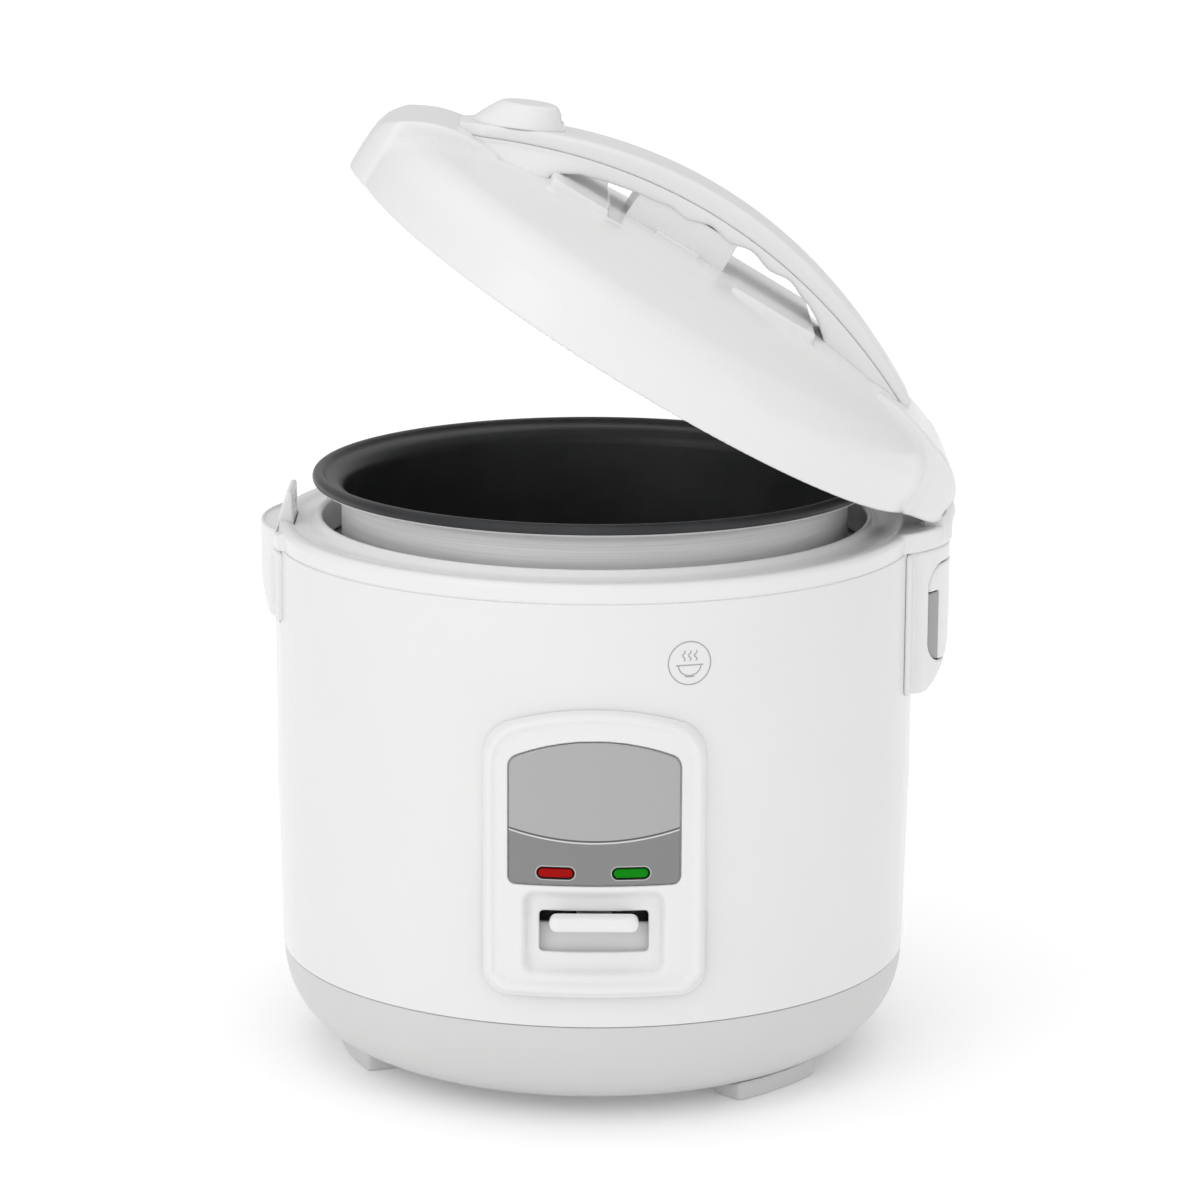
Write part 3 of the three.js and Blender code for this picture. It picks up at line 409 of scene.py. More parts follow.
BOARD = moulded_plastic("circuit_board", (0.03, 0.12, 0.05), 0.5, relief=0.2)
CERAMIC = moulded_plastic("cream_ceramic", (0.66, 0.62, 0.52), 0.55, relief=0.2, drift=0.04)
SLEEVE = moulded_plastic("fuse_sleeve", (0.62, 0.58, 0.46), 0.8, grain=1600, relief=0.4, drift=0.06)
LAMP = moulded_plastic("lamp_glass", (0.7, 0.5, 0.3), 0.1)
SPUN = brushed_metal("spun_aluminium", (0.8, 0.8, 0.805), 0.5, (0.05, 0.05, 6), 0.08, metallic=0.4)
PLATE_METAL = brushed_metal("cast_aluminium", (0.55, 0.555, 0.56), 0.42, (1, 1, 1), 0.25, 500)
GALVANISED = brushed_metal("galvanised_steel", (0.4, 0.405, 0.41), 0.38, (1, 1, 0.3), 0.15, 120)
STEEL = brushed_metal("zinc_plated_steel", (0.6, 0.6, 0.6), 0.28, (1, 1, 1), 0.08, 700)
BRASS = brushed_metal("brass_pin", (0.7, 0.52, 0.22), 0.26, (1, 0.1, 1), 0.08, 700)
NON_STICK = moulded_plastic("non_stick_coat", (0.04, 0.041, 0.043), 0.32, grain=2200, relief=0.2, drift=0.02,
                            gloss=0.25)
MAGNET = moulded_plastic("ferrite", (0.03, 0.03, 0.032), 0.6, relief=0.3)


LENS_Z = 109.7
LENSES = (("cook", -14.5, RED), ("ready", 15, GREEN))
LINE_Z, LINE_BEND = 122.7, 0.0042  # the smiling line across the display plate
LINE_SPAN = 20  # millimetres of height that its colour ramp covers
LENS_REACH = 5.0  # half of the straight part round a lens
HALO_R, SURROUND_R = 2.95, 2.6


def display_paint():
    """Silver-grey film: light above a smiling double line, dark below it, black round each lens."""
    material, nodes, links, bsdf = shader("display_film")
    calc = calculator(nodes, links)
    where = nodes.new("ShaderNodeTexCoord")
    parts = nodes.new("ShaderNodeSeparateXYZ")
    links.new(where.outputs["Object"], parts.inputs["Vector"])
    across = calc("SUBTRACT", calc("DIVIDE", calc("SUBTRACT", parts.outputs["X"], AXIS_X), MM), PANEL_X)
    up = calc("DIVIDE", parts.outputs["Z"], MM)
    split = calc("MULTIPLY_ADD", calc("MULTIPLY", across, across), LINE_BEND, LINE_Z)
    above = calc("SUBTRACT", up, split)
    ramp = nodes.new("ShaderNodeValToRGB")
    ramp.color_ramp.interpolation = "CONSTANT"
    # Each stop is a height above the line, and the grey that starts there.
    stops = [(-LINE_SPAN / 2, 0.225), (-1.1, 0.62), (-0.5, 0.1), (0.25, 0.4)]
    for _ in stops[2:]:
        ramp.color_ramp.elements.new(0.5)
    for stop, (height, grey) in zip(ramp.color_ramp.elements, stops):
        stop.position = (height + LINE_SPAN / 2) / LINE_SPAN
        stop.color = (grey, grey, grey * 1.01, 1)
    links.new(calc("MULTIPLY_ADD", above, 1 / LINE_SPAN, 0.5), ramp.inputs["Fac"])

    rise = calc("SUBTRACT", up, LENS_Z)
    nearest = 99.0
    for _, centre, _ in LENSES:
        beside = calc("ABSOLUTE", calc("SUBTRACT", across, centre - PANEL_X))
        along = calc("MAXIMUM", calc("SUBTRACT", beside, LENS_REACH), 0.0)
        reach = calc("SQRT", calc("ADD", calc("MULTIPLY", along, along), calc("MULTIPLY", rise, rise)))
        nearest = calc("MINIMUM", reach, nearest)
    halo = nodes.new("ShaderNodeMixRGB")
    halo.inputs["Color2"].default_value = (0.5, 0.5, 0.5, 1)
    links.new(calc("LESS_THAN", nearest, HALO_R), halo.inputs["Fac"])
    links.new(ramp.outputs["Color"], halo.inputs["Color1"])
    surround = nodes.new("ShaderNodeMixRGB")
    surround.inputs["Color2"].default_value = (0.012, 0.012, 0.014, 1)
    links.new(calc("LESS_THAN", nearest, SURROUND_R), surround.inputs["Fac"])
    links.new(halo.outputs["Color"], surround.inputs["Color1"])
    links.new(surround.outputs["Color"], bsdf.inputs["Base Color"])

    fine = noise_of(nodes, links, 1500, 2)
    varied_roughness(nodes, links, bsdf, fine, 0.3, 0.42)
    bumped(nodes, links, bsdf, fine, 0.08)
    bsdf.inputs["Metallic"].default_value = 0.35
    return material


DISPLAY = display_paint()


# ---------------------------------------------------------------- body
def bowl_side(margin, steps=20):
    """The base bowl's side, a quarter of a superellipse, from its flat to its rim."""
    flat, power = 88, 2 / 2.1
    line = []
    for i in range(steps + 1):
        t = math.pi / 2 * i / steps
        line.append((flat + (BASE_R + margin - flat) * math.sin(t) ** power,
                     BASE_TOP - (BASE_TOP - BASE_FLOOR + margin) * math.cos(t) ** power))
    return line


BASE_WALL = 2.4
BASE_RIM_INNER = 127.3
INLET_HOLE = (-17.3, 17.3, 98, 150, 12.7, 38.3)
SLOT_ROW_Y, SLOT_HALF_LENGTH, SLOT_HALF_WIDTH = 28, 12, 1.5


def make_base():
    side = bowl_side(0)
    rim = eased([side[-1], (BASE_RIM_INNER, BASE_TOP), (BASE_RIM_INNER, 30)], 0.6)[:-5]
    outline = [(0, BASE_FLOOR), *side[:-1], *rim, *reversed(bowl_side(-BASE_WALL)[:-1]),
               (0, BASE_FLOOR + BASE_WALL)]
    base = lathe("base_bowl", outline, body="housing", slot="base_plastic", material=BASE_GREY_WITH_PAINTED_SHADE,
                 replaces=("base_housing",))
    slots = [(x - SLOT_HALF_WIDTH, x + SLOT_HALF_WIDTH, y - SLOT_HALF_LENGTH, y + SLOT_HALF_LENGTH, 0, 12)
             for y in (-SLOT_ROW_Y, SLOT_ROW_Y) for x in (-18, -6, 6, 18)]
    carve(base, INLET_HOLE, *slots)


TAPER_TOP = 120
PANEL_HOLE = (PANEL_X - 35, PANEL_X + 35, -140, -90, 66, 158)
SHIELD_NOTCH = (PANEL_X - 26, PANEL_X + 26, -140, -90, 59.2, 70)
LATCH_HOLE = (-140, -100, -31.5, 31.5, 185.6, SHELL_TOP + 1)


def make_shell():
    foot = BASE_TOP + 0.3
    inner, inner_foot = SHELL_R - SHELL_WALL, SHELL_FOOT_R - SHELL_WALL
    outline = eased([(SHELL_FOOT_R, foot), (SHELL_R, TAPER_TOP), (SHELL_R, SHELL_TOP), (inner, SHELL_TOP),
                     (inner, TAPER_TOP), (inner_foot, foot)], 0.5)
    shell = lathe("painted_shell", outline, body="housing", slot="shell_paint", material=PAINT,
                  replaces=("outer_shell",))
    # The notch below the panel's hole is for the cook key's shield when the key is down.
    carve(shell, PANEL_HOLE, SHIELD_NOTCH, LATCH_HOLE)


FOOT_ANGLES = (-43, 77, 197)  # degrees round from +X
FOOT_R = 97
FOOT_SCREW_R = 94


def make_feet():
    for i, degrees in enumerate(FOOT_ANGLES):
        a = math.radians(degrees)
        c, s = math.cos(a), math.sin(a)

        def form(x, y, z):
            out, along = x * c + y * s, -x * s + y * c
            block = smax(brick(along, out, -23.5, 23.5, 88, 112, 4), disc(along, out, 0, -40, 146), 2)
            block = smax(block, slab(z, 0.04, 9), 1.6)
            bowl = turned_form(x, y, z, [(0, BASE_FLOOR - 0.3), *bowl_side(0.3, 10), (0, BASE_TOP)])
            screw = smax(disc(x, y, FOOT_SCREW_R * c, FOOT_SCREW_R * s, 3.8), slab(z, -3, 3), 0.2)
            return np.maximum(np.maximum(block, -bowl), -screw)

        x, y = FOOT_R * c, FOOT_R * s
        sculpt(f"foot_pad_{i + 1}", (x - 28, y - 28, -1), (x + 28, y + 28, 10), 0.6, form, body="housing",
               slot="base_plastic", material=BASE_GREY_WITH_PAINTED_SHADE, replaces=(f"foot_{i + 1}",))


HINGE_ARC = (103.4, 0, 43.9)  # plan arcs, as centre and radius
LATCH_ARC = (-78.5, 0, 59.5)


def make_ring():
    skirt = SHELL_TOP + 0.05
    # The ring is a shade smaller than the shell, whose rolled edge shows below it.
    side = [(SHELL_R - 0.6, skirt - 0.6), (SHELL_R - 0.5, skirt + 0.2), (SHELL_R - 0.3, 218),
            (SHELL_R - 0.1, 222)]
    edge = flow([(131.6, 223.3), (130.4, 224.4), (129, RING_TOP)], 3)
    gutter = flow([(126, 224.1), (124.2, 223), (121.5, 222.6), (118.5, 222.9), (116.4, 224.1)], 3)
    lip = [(115.4, 225.6), (114.6, LIP_TOP), (113.8, LIP_TOP), (112.4, 225.8), (112.4, 212), (115, 212)]
    outline = [*side, *edge, (127.2, RING_TOP), *gutter, *lip, (115, 220.4), (129.6, 220.4),
               (129.6, skirt - 0.6)]

    def form(x, y, z):
        ring = turned_form(x, y, z, outline)
        ear = np.maximum(disc(x, y, *HINGE_ARC), -disc(x, y, 0, 0, 130))
        ear = smax(np.maximum(ear, slab(z, skirt, RING_TOP)), slab(y, -40, 40), 1.2)
        strip = np.maximum(slab(np.hypot(x, y), 131, STRIP_FACE_R), slab(np.abs(y), 29.6, 37.4))
        strip = np.maximum(smax(strip, slab(z, skirt, 223.4), 1.0), x + 100)
        body = smin(smin(ring, ear, 0.8), strip, 0.8)
        barrel = disc(x, z, HINGE_X, HINGE_Z, 6.2)
        post = brick(x, z, HINGE_X - 6.6, HINGE_X + 5.2, 219, HINGE_Z, 0.6)
        lugs = smax(smin(barrel, post, 1.5), slab(np.abs(y), 12.3, 18), 0.4)
        body = smin(body, lugs, 1.2)
        pin = np.maximum(disc(x, z, HINGE_X, HINGE_Z, PIN_HOLE_R), slab(y, -30, 30))
        hook = np.maximum(brick(x, y, -145, -123.4, -14.6, 14.6, 1), 200 - z)
        room = np.maximum(disc(x, y, *LATCH_ARC) - 1, brick(x, y, -145, -129.2, -29.4, 29.4))
        return np.maximum(np.maximum(body, -pin), -np.minimum(hook, room))

    sculpt("ring_collar", (-136, -134, 210.6), (149, 134, 239), 0.75, form, body="housing",
           replaces=("top_ring",), **WHITE_PART)


def make_pot():
    r, w, top = POT_R, 1.5, POT_TOP
    bead = 2.6
    bead_r, bead_z = POT_RIM - bead, top - bead
    roll = [(bead_r + bead * math.cos(a), bead_z + bead * math.sin(a))
            for a in np.radians(np.linspace(-128, 152, 22))]
    outside = flow([(84, 94), (93, 96), (99.5, 101), (103.3, 108), (r, 116)], 4)
    flare = flow([(r, top - 11.6), (r + 0.7, top - 8.4), (r + 2.6, top - 5.8), (r + 5, top - 4.6),
                  (r + 7, top - 4.3)], 4)
    throat = flow([(r + 6.2, top - 2.3), (r + 3.7, top - 2.8), (r + 1.1, top - 4.2), (r - 0.8, top - 6.8),
                   (r - w, top - 10)], 4)
    inside = flow([(r - w - 1.2, 109), (98.2, 102.5), (92, 97.6), (83.5, 95.5)], 4)
    outline = [(0, 94), *outside, (r, top - 14), *flare, *roll, *throat, (r - w, 117), *inside, (0, 95.5)]
    pot = lathe("cooking_pot", outline, body="pot", slot="pot_aluminium", material=SPUN,
                replaces=("inner_pot",))
    # The dark coat covers the inside, and runs over the rolled rim.
    pot.data.materials.append(NON_STICK)
    for face in pot.data.polygons:
        x, y, z = face.center
        radius = math.hypot(x - AXIS_X, y - AXIS_Y) / MM
        inward = radius < r - 0.8 and z / MM > 95
        inner_slope = top - 3.4 - 0.42 * (POT_RIM - 5 - radius)
        on_bead = z / MM > bead_z - 1.3 or (radius < bead_r and z / MM > inner_slope)
        if inward or (radius > r - 0.8 and z / MM > top - 8 and on_bead):
            face.material_index = 1


def make_well():
    floor, r, w = 70, 108, 1.2
    outline = eased([(22, floor), (100, floor), (r, floor + 8), (r, 210.3), (114.8, 210.3), (114.8, 211.6),
                     (r - w, 211.6), (r - w, floor + 8.5), (99.5, floor + w), (22, floor + w)], 1.0, 3)
    lathe("inner_well_wall", outline, SMALL_SEGMENTS, body="housing", slot="galvanised", material=GALVANISED,
          replaces=("inner_well",))


# ---------------------------------------------------------------- latch and hinge housing
LEVER_FACE = [
    (-138.6, 224), (-138.5, 206), (-137.8, 200.5), (-136.5, 195.5), (-134.8, 190.3), (-133.4, 188),
    (-132, 187), (-120, 187), (-120, 224),
]
LATCH_BLADE = [
    (-130.6, 216), (-130.6, RING_TOP - 1), (-127.6, 233.2), (-126.6, 235.6), (-125.6, 236.4), (-124.4, 236.2),
    (-123.8, 235), (-123.8, 216),
]


def latch_lever_form(x, y, z):
    half, (px, pz) = 29.2, LATCH_PIN
    outside = smax(disc(x, y, *LATCH_ARC), slab(y, -half, half), 1.6)
    outside = smax(outside, polygon(x, z, LEVER_FACE), 1.6)
    outside = np.maximum(outside, x + 129.6)
    inside = np.maximum(disc(x, y, *LATCH_ARC) + 2, slab(y, -half + 2, half - 2))
    inside = np.maximum(inside, polygon(x, z, [(u + 2, v - 3 if v > 220 else v - 2) for u, v in LEVER_FACE]))
    skin = smax(outside, -inside, 0.6)
    dish = np.maximum(disc(x, y, *LATCH_ARC) + 1.4, np.maximum(slab(y, -half + 1.3, half - 1.3), 222.6 - z))
    skin = smax(skin, -dish, 0.5)
    hub = smax(disc(x, z, px, pz, 4), slab(y, -11, 11), 0.6)
    web = smax(brick(x, z, -136.6, px, pz - 2.5, pz + 2.5), slab(y, -10, 10), 0.6)
    neck = polygon(x, z, [(px - 3.6, pz), (-130.2, 217), (-123.8, 217), (px + 3.6, pz)])
    neck = smax(neck, slab(y, -11, 11), 0.6)
    blade = smax(polygon(x, z, LATCH_BLADE), slab(y, -14, 14), 0.9)
    window = smax(brick(y, z, -8, 8, 226.5, 231, 1), slab(x, -140, -110), 0.3)
    pin = np.maximum(disc(x, z, px, pz, PIN_HOLE_R), slab(y, -20, 20))
    lever = smin(smin(smin(skin, web, 0.8), smin(hub, neck, 0.8), 0.8), blade, 0.8)
    return np.maximum(np.maximum(lever, -window), -pin)


def latch_bracket_form(x, y, z):
    px, pz = LATCH_PIN
    side = np.abs(y)
    frame_back = smax(slab(x, -119.6, -117.6), brick(y, z, -31, 31, 189, 213, 1), 0.6)
    strip = np.maximum(slab(np.hypot(x, y), SHELL_R - 0.4, STRIP_FACE_R), slab(side, 29.6, 37.0))
    strip = smax(strip, brick(side, z, 20, 37.0, 187, SHELL_TOP, 3), 1.2)
    strip = np.maximum(strip, x + 100)
    notch = np.sqrt((x + 129.3) ** 2 + (side - 36) ** 2 + (z - SHELL_TOP) ** 2)
    strip = np.maximum(strip, NOTCH_R - notch)
    wall = smax(slab(side, 29.6, 31.1), brick(x, z, -132.2, -117.6, 189, 213), 0.4)
    lug = smax(slab(side, 16.6, 20.6), brick(x, z, px - 3.8, -117.6, pz - 5, pz + 4, 1.5), 0.5)
    body = np.minimum(smin(frame_back, wall, 0.5), lug)
    body = smin(body, strip, 0.5)
    pin = np.maximum(disc(x, z, px, pz, PIN_HOLE_R), slab(y, -22, 22))
    return np.maximum(body, -pin)


HOUSING_FOOT = 156.6
HOUSING_SIDE = [
    (120, SHELL_TOP), (147.3, SHELL_TOP), (147.3, 185), (146.9, 176.6), (145.7, 170.5), (143.4, 165),
    (140.2, 160.4), (136.8, 157.3), (133.8, HOUSING_FOOT), (120, HOUSING_FOOT),
]
HOUSING_HALF = 31.5
HOUSING_WALL = 2.2
CUP_HALF, CUP_LOW, CUP_RIM, CUP_TOP, CUP_CORNER, CUP_WALL = 27.5, 169, 198, 209, 9, 1.6


def housing_form(x, y, z):
    half, w = HOUSING_HALF, HOUSING_WALL
    outside = smax(disc(x, y, *HINGE_ARC), slab(y, -half, half), 1.4)
    outside = smax(outside, polygon(x, z, HOUSING_SIDE), 1.6)
    flange = smax(np.hypot(x, y) - 134, brick(y, z, -half - 6, half + 6, HOUSING_FOOT, SHELL_TOP, 4), 1.0)
    flange = np.maximum(flange, 100 - x)
    outside = np.maximum(smin(outside, flange, 0.8), SHELL_R + 0.05 - np.hypot(x, y))
    inner = [(u - w, v - 2.4 if v > 200 else v + w) for u, v in HOUSING_SIDE]
    cavity = np.maximum(disc(x, y, *HINGE_ARC) + w, slab(y, -half + w, half - w))
    cavity = np.maximum(np.maximum(cavity, polygon(x, z, inner)), SHELL_R + 1.9 - np.hypot(x, y))
    mouth = brick(y, z, -CUP_HALF - 0.5, CUP_HALF + 0.5, CUP_LOW - 0.5, CUP_TOP + 0.5, CUP_CORNER)
    mouth = np.maximum(mouth, 134.2 - x)
    cover = smax(smax(outside, -cavity, 0.5), -mouth, 0.9)
    notch = np.sqrt((x - 129.1) ** 2 + (np.abs(y) - 36) ** 2 + (z - SHELL_TOP) ** 2)
    return np.maximum(cover, NOTCH_R - notch)


def cup_outline(y, z, inset=0.0):
    return brick(y, z, -CUP_HALF + inset, CUP_HALF - inset, CUP_LOW + inset, CUP_TOP, CUP_CORNER - 0.5)


def cup_form(x, y, z):
    front = smax(disc(x, y, *HINGE_ARC) + 0.5, polygon(x, z, HOUSING_SIDE), 1.0)
    body = np.maximum(smax(front, cup_outline(y, z), 0.8), 134.6 - x)
    body = smax(body, z - CUP_RIM, 0.5)
    inside = brick(x, y, 136.2, 146, -CUP_HALF + CUP_WALL, CUP_HALF - CUP_WALL, 1.5)
    hollow = np.maximum(disc(x, y, *HINGE_ARC) + 1.8, inside)
    hollow = np.maximum(hollow, polygon(x, z, [(u - 1.8, v) for u, v in HOUSING_SIDE]))
    hollow = np.maximum(hollow, CUP_LOW + CUP_WALL - z)
    return smax(body, -hollow, 0.4)


def cup_face_form(x, y, z):
    front = smax(disc(x, y, *HINGE_ARC), polygon(x, z, HOUSING_SIDE), 1.0)
    plate = smax(front, -(disc(x, y, *HINGE_ARC) + 1.6), 0.3)
    width = smin(slab(y, -21, 21), smax(slab(y, -CUP_HALF, CUP_HALF), CUP_RIM + 0.5 - z, 0.6), 0.8)
    return smax(smax(plate, cup_outline(y, z, 0.1), 0.6), width, 0.8)


def make_sides():
    sculpt("latch_press_plate", (-141, -31, 179), (-120, 31, 243), 0.5, latch_lever_form, body="latch",
           replaces=("latch_lever",), **WHITE_PART)
    sculpt("latch_surround", (-136.5, -39, 175), (-116, 39, 218), 0.5, latch_bracket_form, body="housing",
           replaces=("latch_bracket",), **WHITE_PART)
    sculpt("hinge_cover", (120, -39, 155), (149, 39, 218), 0.5, housing_form, body="housing",
           replaces=("hinge_housing",), **WHITE_PART)
    sculpt("drip_cup", (133.5, -29, 167), (148.6, 29, 200), 0.45, cup_form, body="cup",
           slot="smoke_plastic", material=SMOKE, replaces=("condensate_cup",))
    sculpt("cup_face", (134, -28.5, 167), (148.6, 28.5, 211), 0.4, cup_face_form, body="cup",
           replaces=("condensate_cup",), **WHITE_PART)


# ---------------------------------------------------------------- control panel
def arched(x, z, half, z0, shoulder, crown, corner):
    """A panel outline with an arched top, about the panel's middle line."""
    u = x - PANEL_X
    rise = crown - shoulder
    radius = (half * half + rise * rise) / (2 * rise)
    sides = brick(u, z, -half, half, z0, z0 + 400, corner)
    arch = np.hypot(u, z - (crown - radius)) - radius
    return smax(sides, arch, corner * 1.1)


def pill_form(x, z, centre, length, height):
    half = (length - height) / 2
    along = np.maximum(np.abs(x - centre) - half, 0)
    return np.hypot(along, z - LENS_Z) - height / 2


def frame_height(depth, z):
    """How far out the bezel stands, by the distance in from its outline: a soft ridge, then a flat face."""
    height = np.interp(depth, [0, 0.5, 1.2, 2.0, 2.8, 3.5, 4.2, 5.0, 6.2],
                       [133.0, 134.5, 135.9, 136.7, 136.95, 136.8, 136.3, 135.8, 135.6])
    low = np.clip((69 - z) / 6, 0, 1)
    low = low * low * (3 - 2 * low)
    rolled = np.interp(depth, [0, 0.8, 1.8, 2.8, 3.8, 4.6, 5.6, 6.6, 8.0],
                       [132.2, 133.1, 134.6, 136.2, 137.6, 138.2, 138.1, 137.2, 135.6])
    return height * (1 - low) + rolled * low


def bezel_form(x, y, z):
    r = np.hypot(x, y)
    u = x - PANEL_X
    outline = arched(x, z, 44, 57.7, 165.5, 175, 10)
    dish = brick(u, z, -28, 28, 67.6, 101.9, 5)
    sunk = np.interp(-dish, [-1.2, -0.3, 0.8, 2.2, 3.4, 4.6], [0, 0.25, 1.3, 3.3, 4.1, 4.3])
    front = (r - frame_height(-outline, z) + sunk) * 0.8
    tub = np.maximum(129.4 - r, brick(u, z, -33, 33, 67, 157, 4))
    body = np.maximum(np.maximum(front, outline), np.minimum(SHELL_R + 0.05 - r, tub))
    pocket = smax(arched(x, z, 33.9, 104.4, 155.2, 162.9, 3), 134.0 - r, 0.3)
    slot = brick(u, z, -21.4, 21.4, 76.4, 93, 1.6)
    body = smax(smax(body, -pocket, 0.4), -slot, 0.8)
    for _, centre, _ in LENSES:
        body = np.maximum(body, -pill_form(x, z, centre, 14.6, 5.1))
    return np.maximum(body, y + 100)


def display_form(x, y, z):
    r = np.hypot(x, y)
    plate = smax(arched(x, z, 33.5, 104.8, 154.8, 162.5, 3), slab(r, 134.1, 135.7), 0.4)
    for _, centre, _ in LENSES:
        plate = smax(plate, -pill_form(x, z, centre, 14.0, 4.0), 0.2)
    return np.maximum(plate, y + 100)


def make_panel():
    sculpt("panel_frame", (-46, -138.5, 56), (47, -121, 177), 0.5, bezel_form, body="housing",
           replaces=("panel_bezel",), **WHITE_PART)
    sculpt("display_window", (-35, -138, 103), (36, -128, 164), 0.4, display_form, body="housing",
           slot="grey_plastic", material=DISPLAY, replaces=("display_plate",))
    for name, centre, material in LENSES:

        def lens(x, y, z, centre=centre):
            r = np.hypot(x, y)
            return np.maximum(smax(pill_form(x, z, centre, 13.7, 3.7), r - 136.2, 1.2), 128.6 - r)

        sculpt(f"{name}_light", (centre - 8, -138.5, 106.5), (centre + 8, -127, 113), 0.3, lens,
               body="housing", slot="red_lens" if name == "cook" else "green_lens", material=material,
               replaces=(f"{name}_lens",))


KNOB_BACK, KNOB_FRONT, KNOB_LOW, KNOB_HIGH = -131.9, -141.2, 86.6, 93.4
KEY_ARM = [
    (-133, 86.8), (-121, 86.2), (-118, 58), (-112, 51), (-70, 50), (-40, 44), (-4, 36.8), (8, 36.8), (8, 40),
    (-3, 40.6), (-40, 50), (-60, 66), (-72, 66.4), (-108, 62.6), (-111, 68), (-113, 88), (-116, 91.2),
    (-133, 91.4),
]


def key_form(x, y, z):
    u = x - PANEL_X
    plan = brick(u, y, -17.8, 17.8, KNOB_FRONT, KNOB_BACK, 4.6)
    bar = smax(plan, brick(y, z, KNOB_FRONT, KNOB_BACK, KNOB_LOW, KNOB_HIGH, 3.4), 1.4)
    bar = smax(bar, brick(u, z, -17.7, 17.7, KNOB_LOW, KNOB_HIGH, 3.4), 0.8)
    lever = smax(polygon(y, z, KEY_ARM), slab(u, -7, 7), 0.8)
    # A curved shield, concentric with the axle, closes the slot below the knob from behind.
    shield = np.maximum(slab(disc(y, z, *SWITCH_PIN, 0), 60, 61.6), brick(u, z, -23.5, 23.5, 66.3, 86.2, 0.4))
    shield = np.maximum(shield, y + 100)
    axle = np.maximum(disc(y, z, *SWITCH_PIN, PIN_HOLE_R), slab(x, -20, 20))
    spring_seat = np.maximum(disc(x, y, PANEL_X, -82, 5.2), slab(z, 40, 51.2))
    return np.maximum(smin(smin(bar, lever, 0.8), shield, 0.8), -np.minimum(axle, spring_seat))


def make_key():
    sculpt("cook_key", (-24, -142.5, 35.5), (25.5, 9.5, 102), 0.6, key_form, body="switch",
           replaces=("switch_lever",), **WHITE_PART)


# ---------------------------------------------------------------- lid
DOME = [
    (132, 0.6), (132, 5), (132, 10), (131.7, 15), (130.6, 19.5), (127.6, 24.8), (122.5, 28.8), (116, 31.4),
    (100, 35.4), (80, 39.4), (50, 42.9), (25, 44), (0, 44.2),
]
DOME_INSIDE = [
    (129.8, 0.6), (129.8, 9.6), (128.7, 17.8), (125.8, 23), (121.5, 26.4), (115.3, 29), (79.5, 37.1),
    (49.7, 40.7), (0, 42),
]
LATCH_BOSS = [
    (-137.6, 0.6), (-137.5, 6), (-137.3, 12), (-136.4, 19.4), (-134, 25.2), (-130, 29.3), (-126.1, 32.1),
    (-117.3, 36.3), (-108, 38.6), (-100, 39.2), (-88, 38.6),
]
HINGE_BOSS = [
    (141.3, 0.6), (145.5, 2.6), (147.3, 6.6), (145.9, 11.5), (142.3, 17.5), (136.2, 23.6), (129.3, 28.2),
    (122.2, 30.6), (114.4, 33.4), (103, 36.2), (92, 37.2),
]
PAD_TOP = 44.6
INSET_FLOOR = 42.2
VENT_X = -87
VENT_TILT = math.radians(24)
VENT_HEIGHT = 8.8
HANDLE_HALF = 20
ROOT_SINK = 0.5  # the handle's roots are let into the lid by this


def handle_back(x):
    """The height of the handle's back along its length."""
    return 70 - (x + 2) ** 2 / 380


def handle_seam(x):
    """The height of the seam between the handle's grip and its cover."""
    return 62 - (x + 2) ** 2 / 428


def lid_form(x, y, h):
    """The lid's whole outer form."""
    dome = turned_form(x, y, h, flow(DOME, 5) + [(0, 0.6)])
    latch = polygon(x, h, flow(LATCH_BOSS, 4) + [(-88, 33), (-110, 24), (-112, 0.6)])
    latch = smax(smax(latch, disc(x, y, -77.4, 0, 60.2), 1.6), slab(y, -30, 30), 2.2)
    hinge = polygon(x, h, flow(HINGE_BOSS, 4) + [(92, 30), (116, 20), (124, 0.6)])
    hinge = smax(smax(hinge, disc(x, y, 100, 0, 47.8), 2.0), slab(y, -39, 39), 3.0)
    pad = smax(brick(x, y, -66, 57, -46, 46, 3), h - PAD_TOP, 0.9)
    pad = np.maximum(pad, 30 - h)
    inset = smax(brick(x, y, -40, 18.5, -60, 60), INSET_FLOOR - h, 0.5)
    pad = smax(pad, -inset, 0.5)
    form = smin(smin(dome, latch, 1.8), hinge, 2.4)
    return smin(form, pad, 0.9)


def along_vent(x, y, h):
    """Distance out from the steam vent's tilted axis, and along it from the handle's back."""
    seat = handle_back(VENT_X)
    c, s = math.cos(VENT_TILT), math.sin(VENT_TILT)
    dx, dh = x - VENT_X, h - seat
    return np.sqrt((dx * c + dh * s) ** 2 + y * y), -dx * s + dh * c


def vent_bore(x, y, h, radius=8.3):
    out, up = along_vent(x, y, h)
    return np.maximum(out - radius, slab(up, -40, 5))


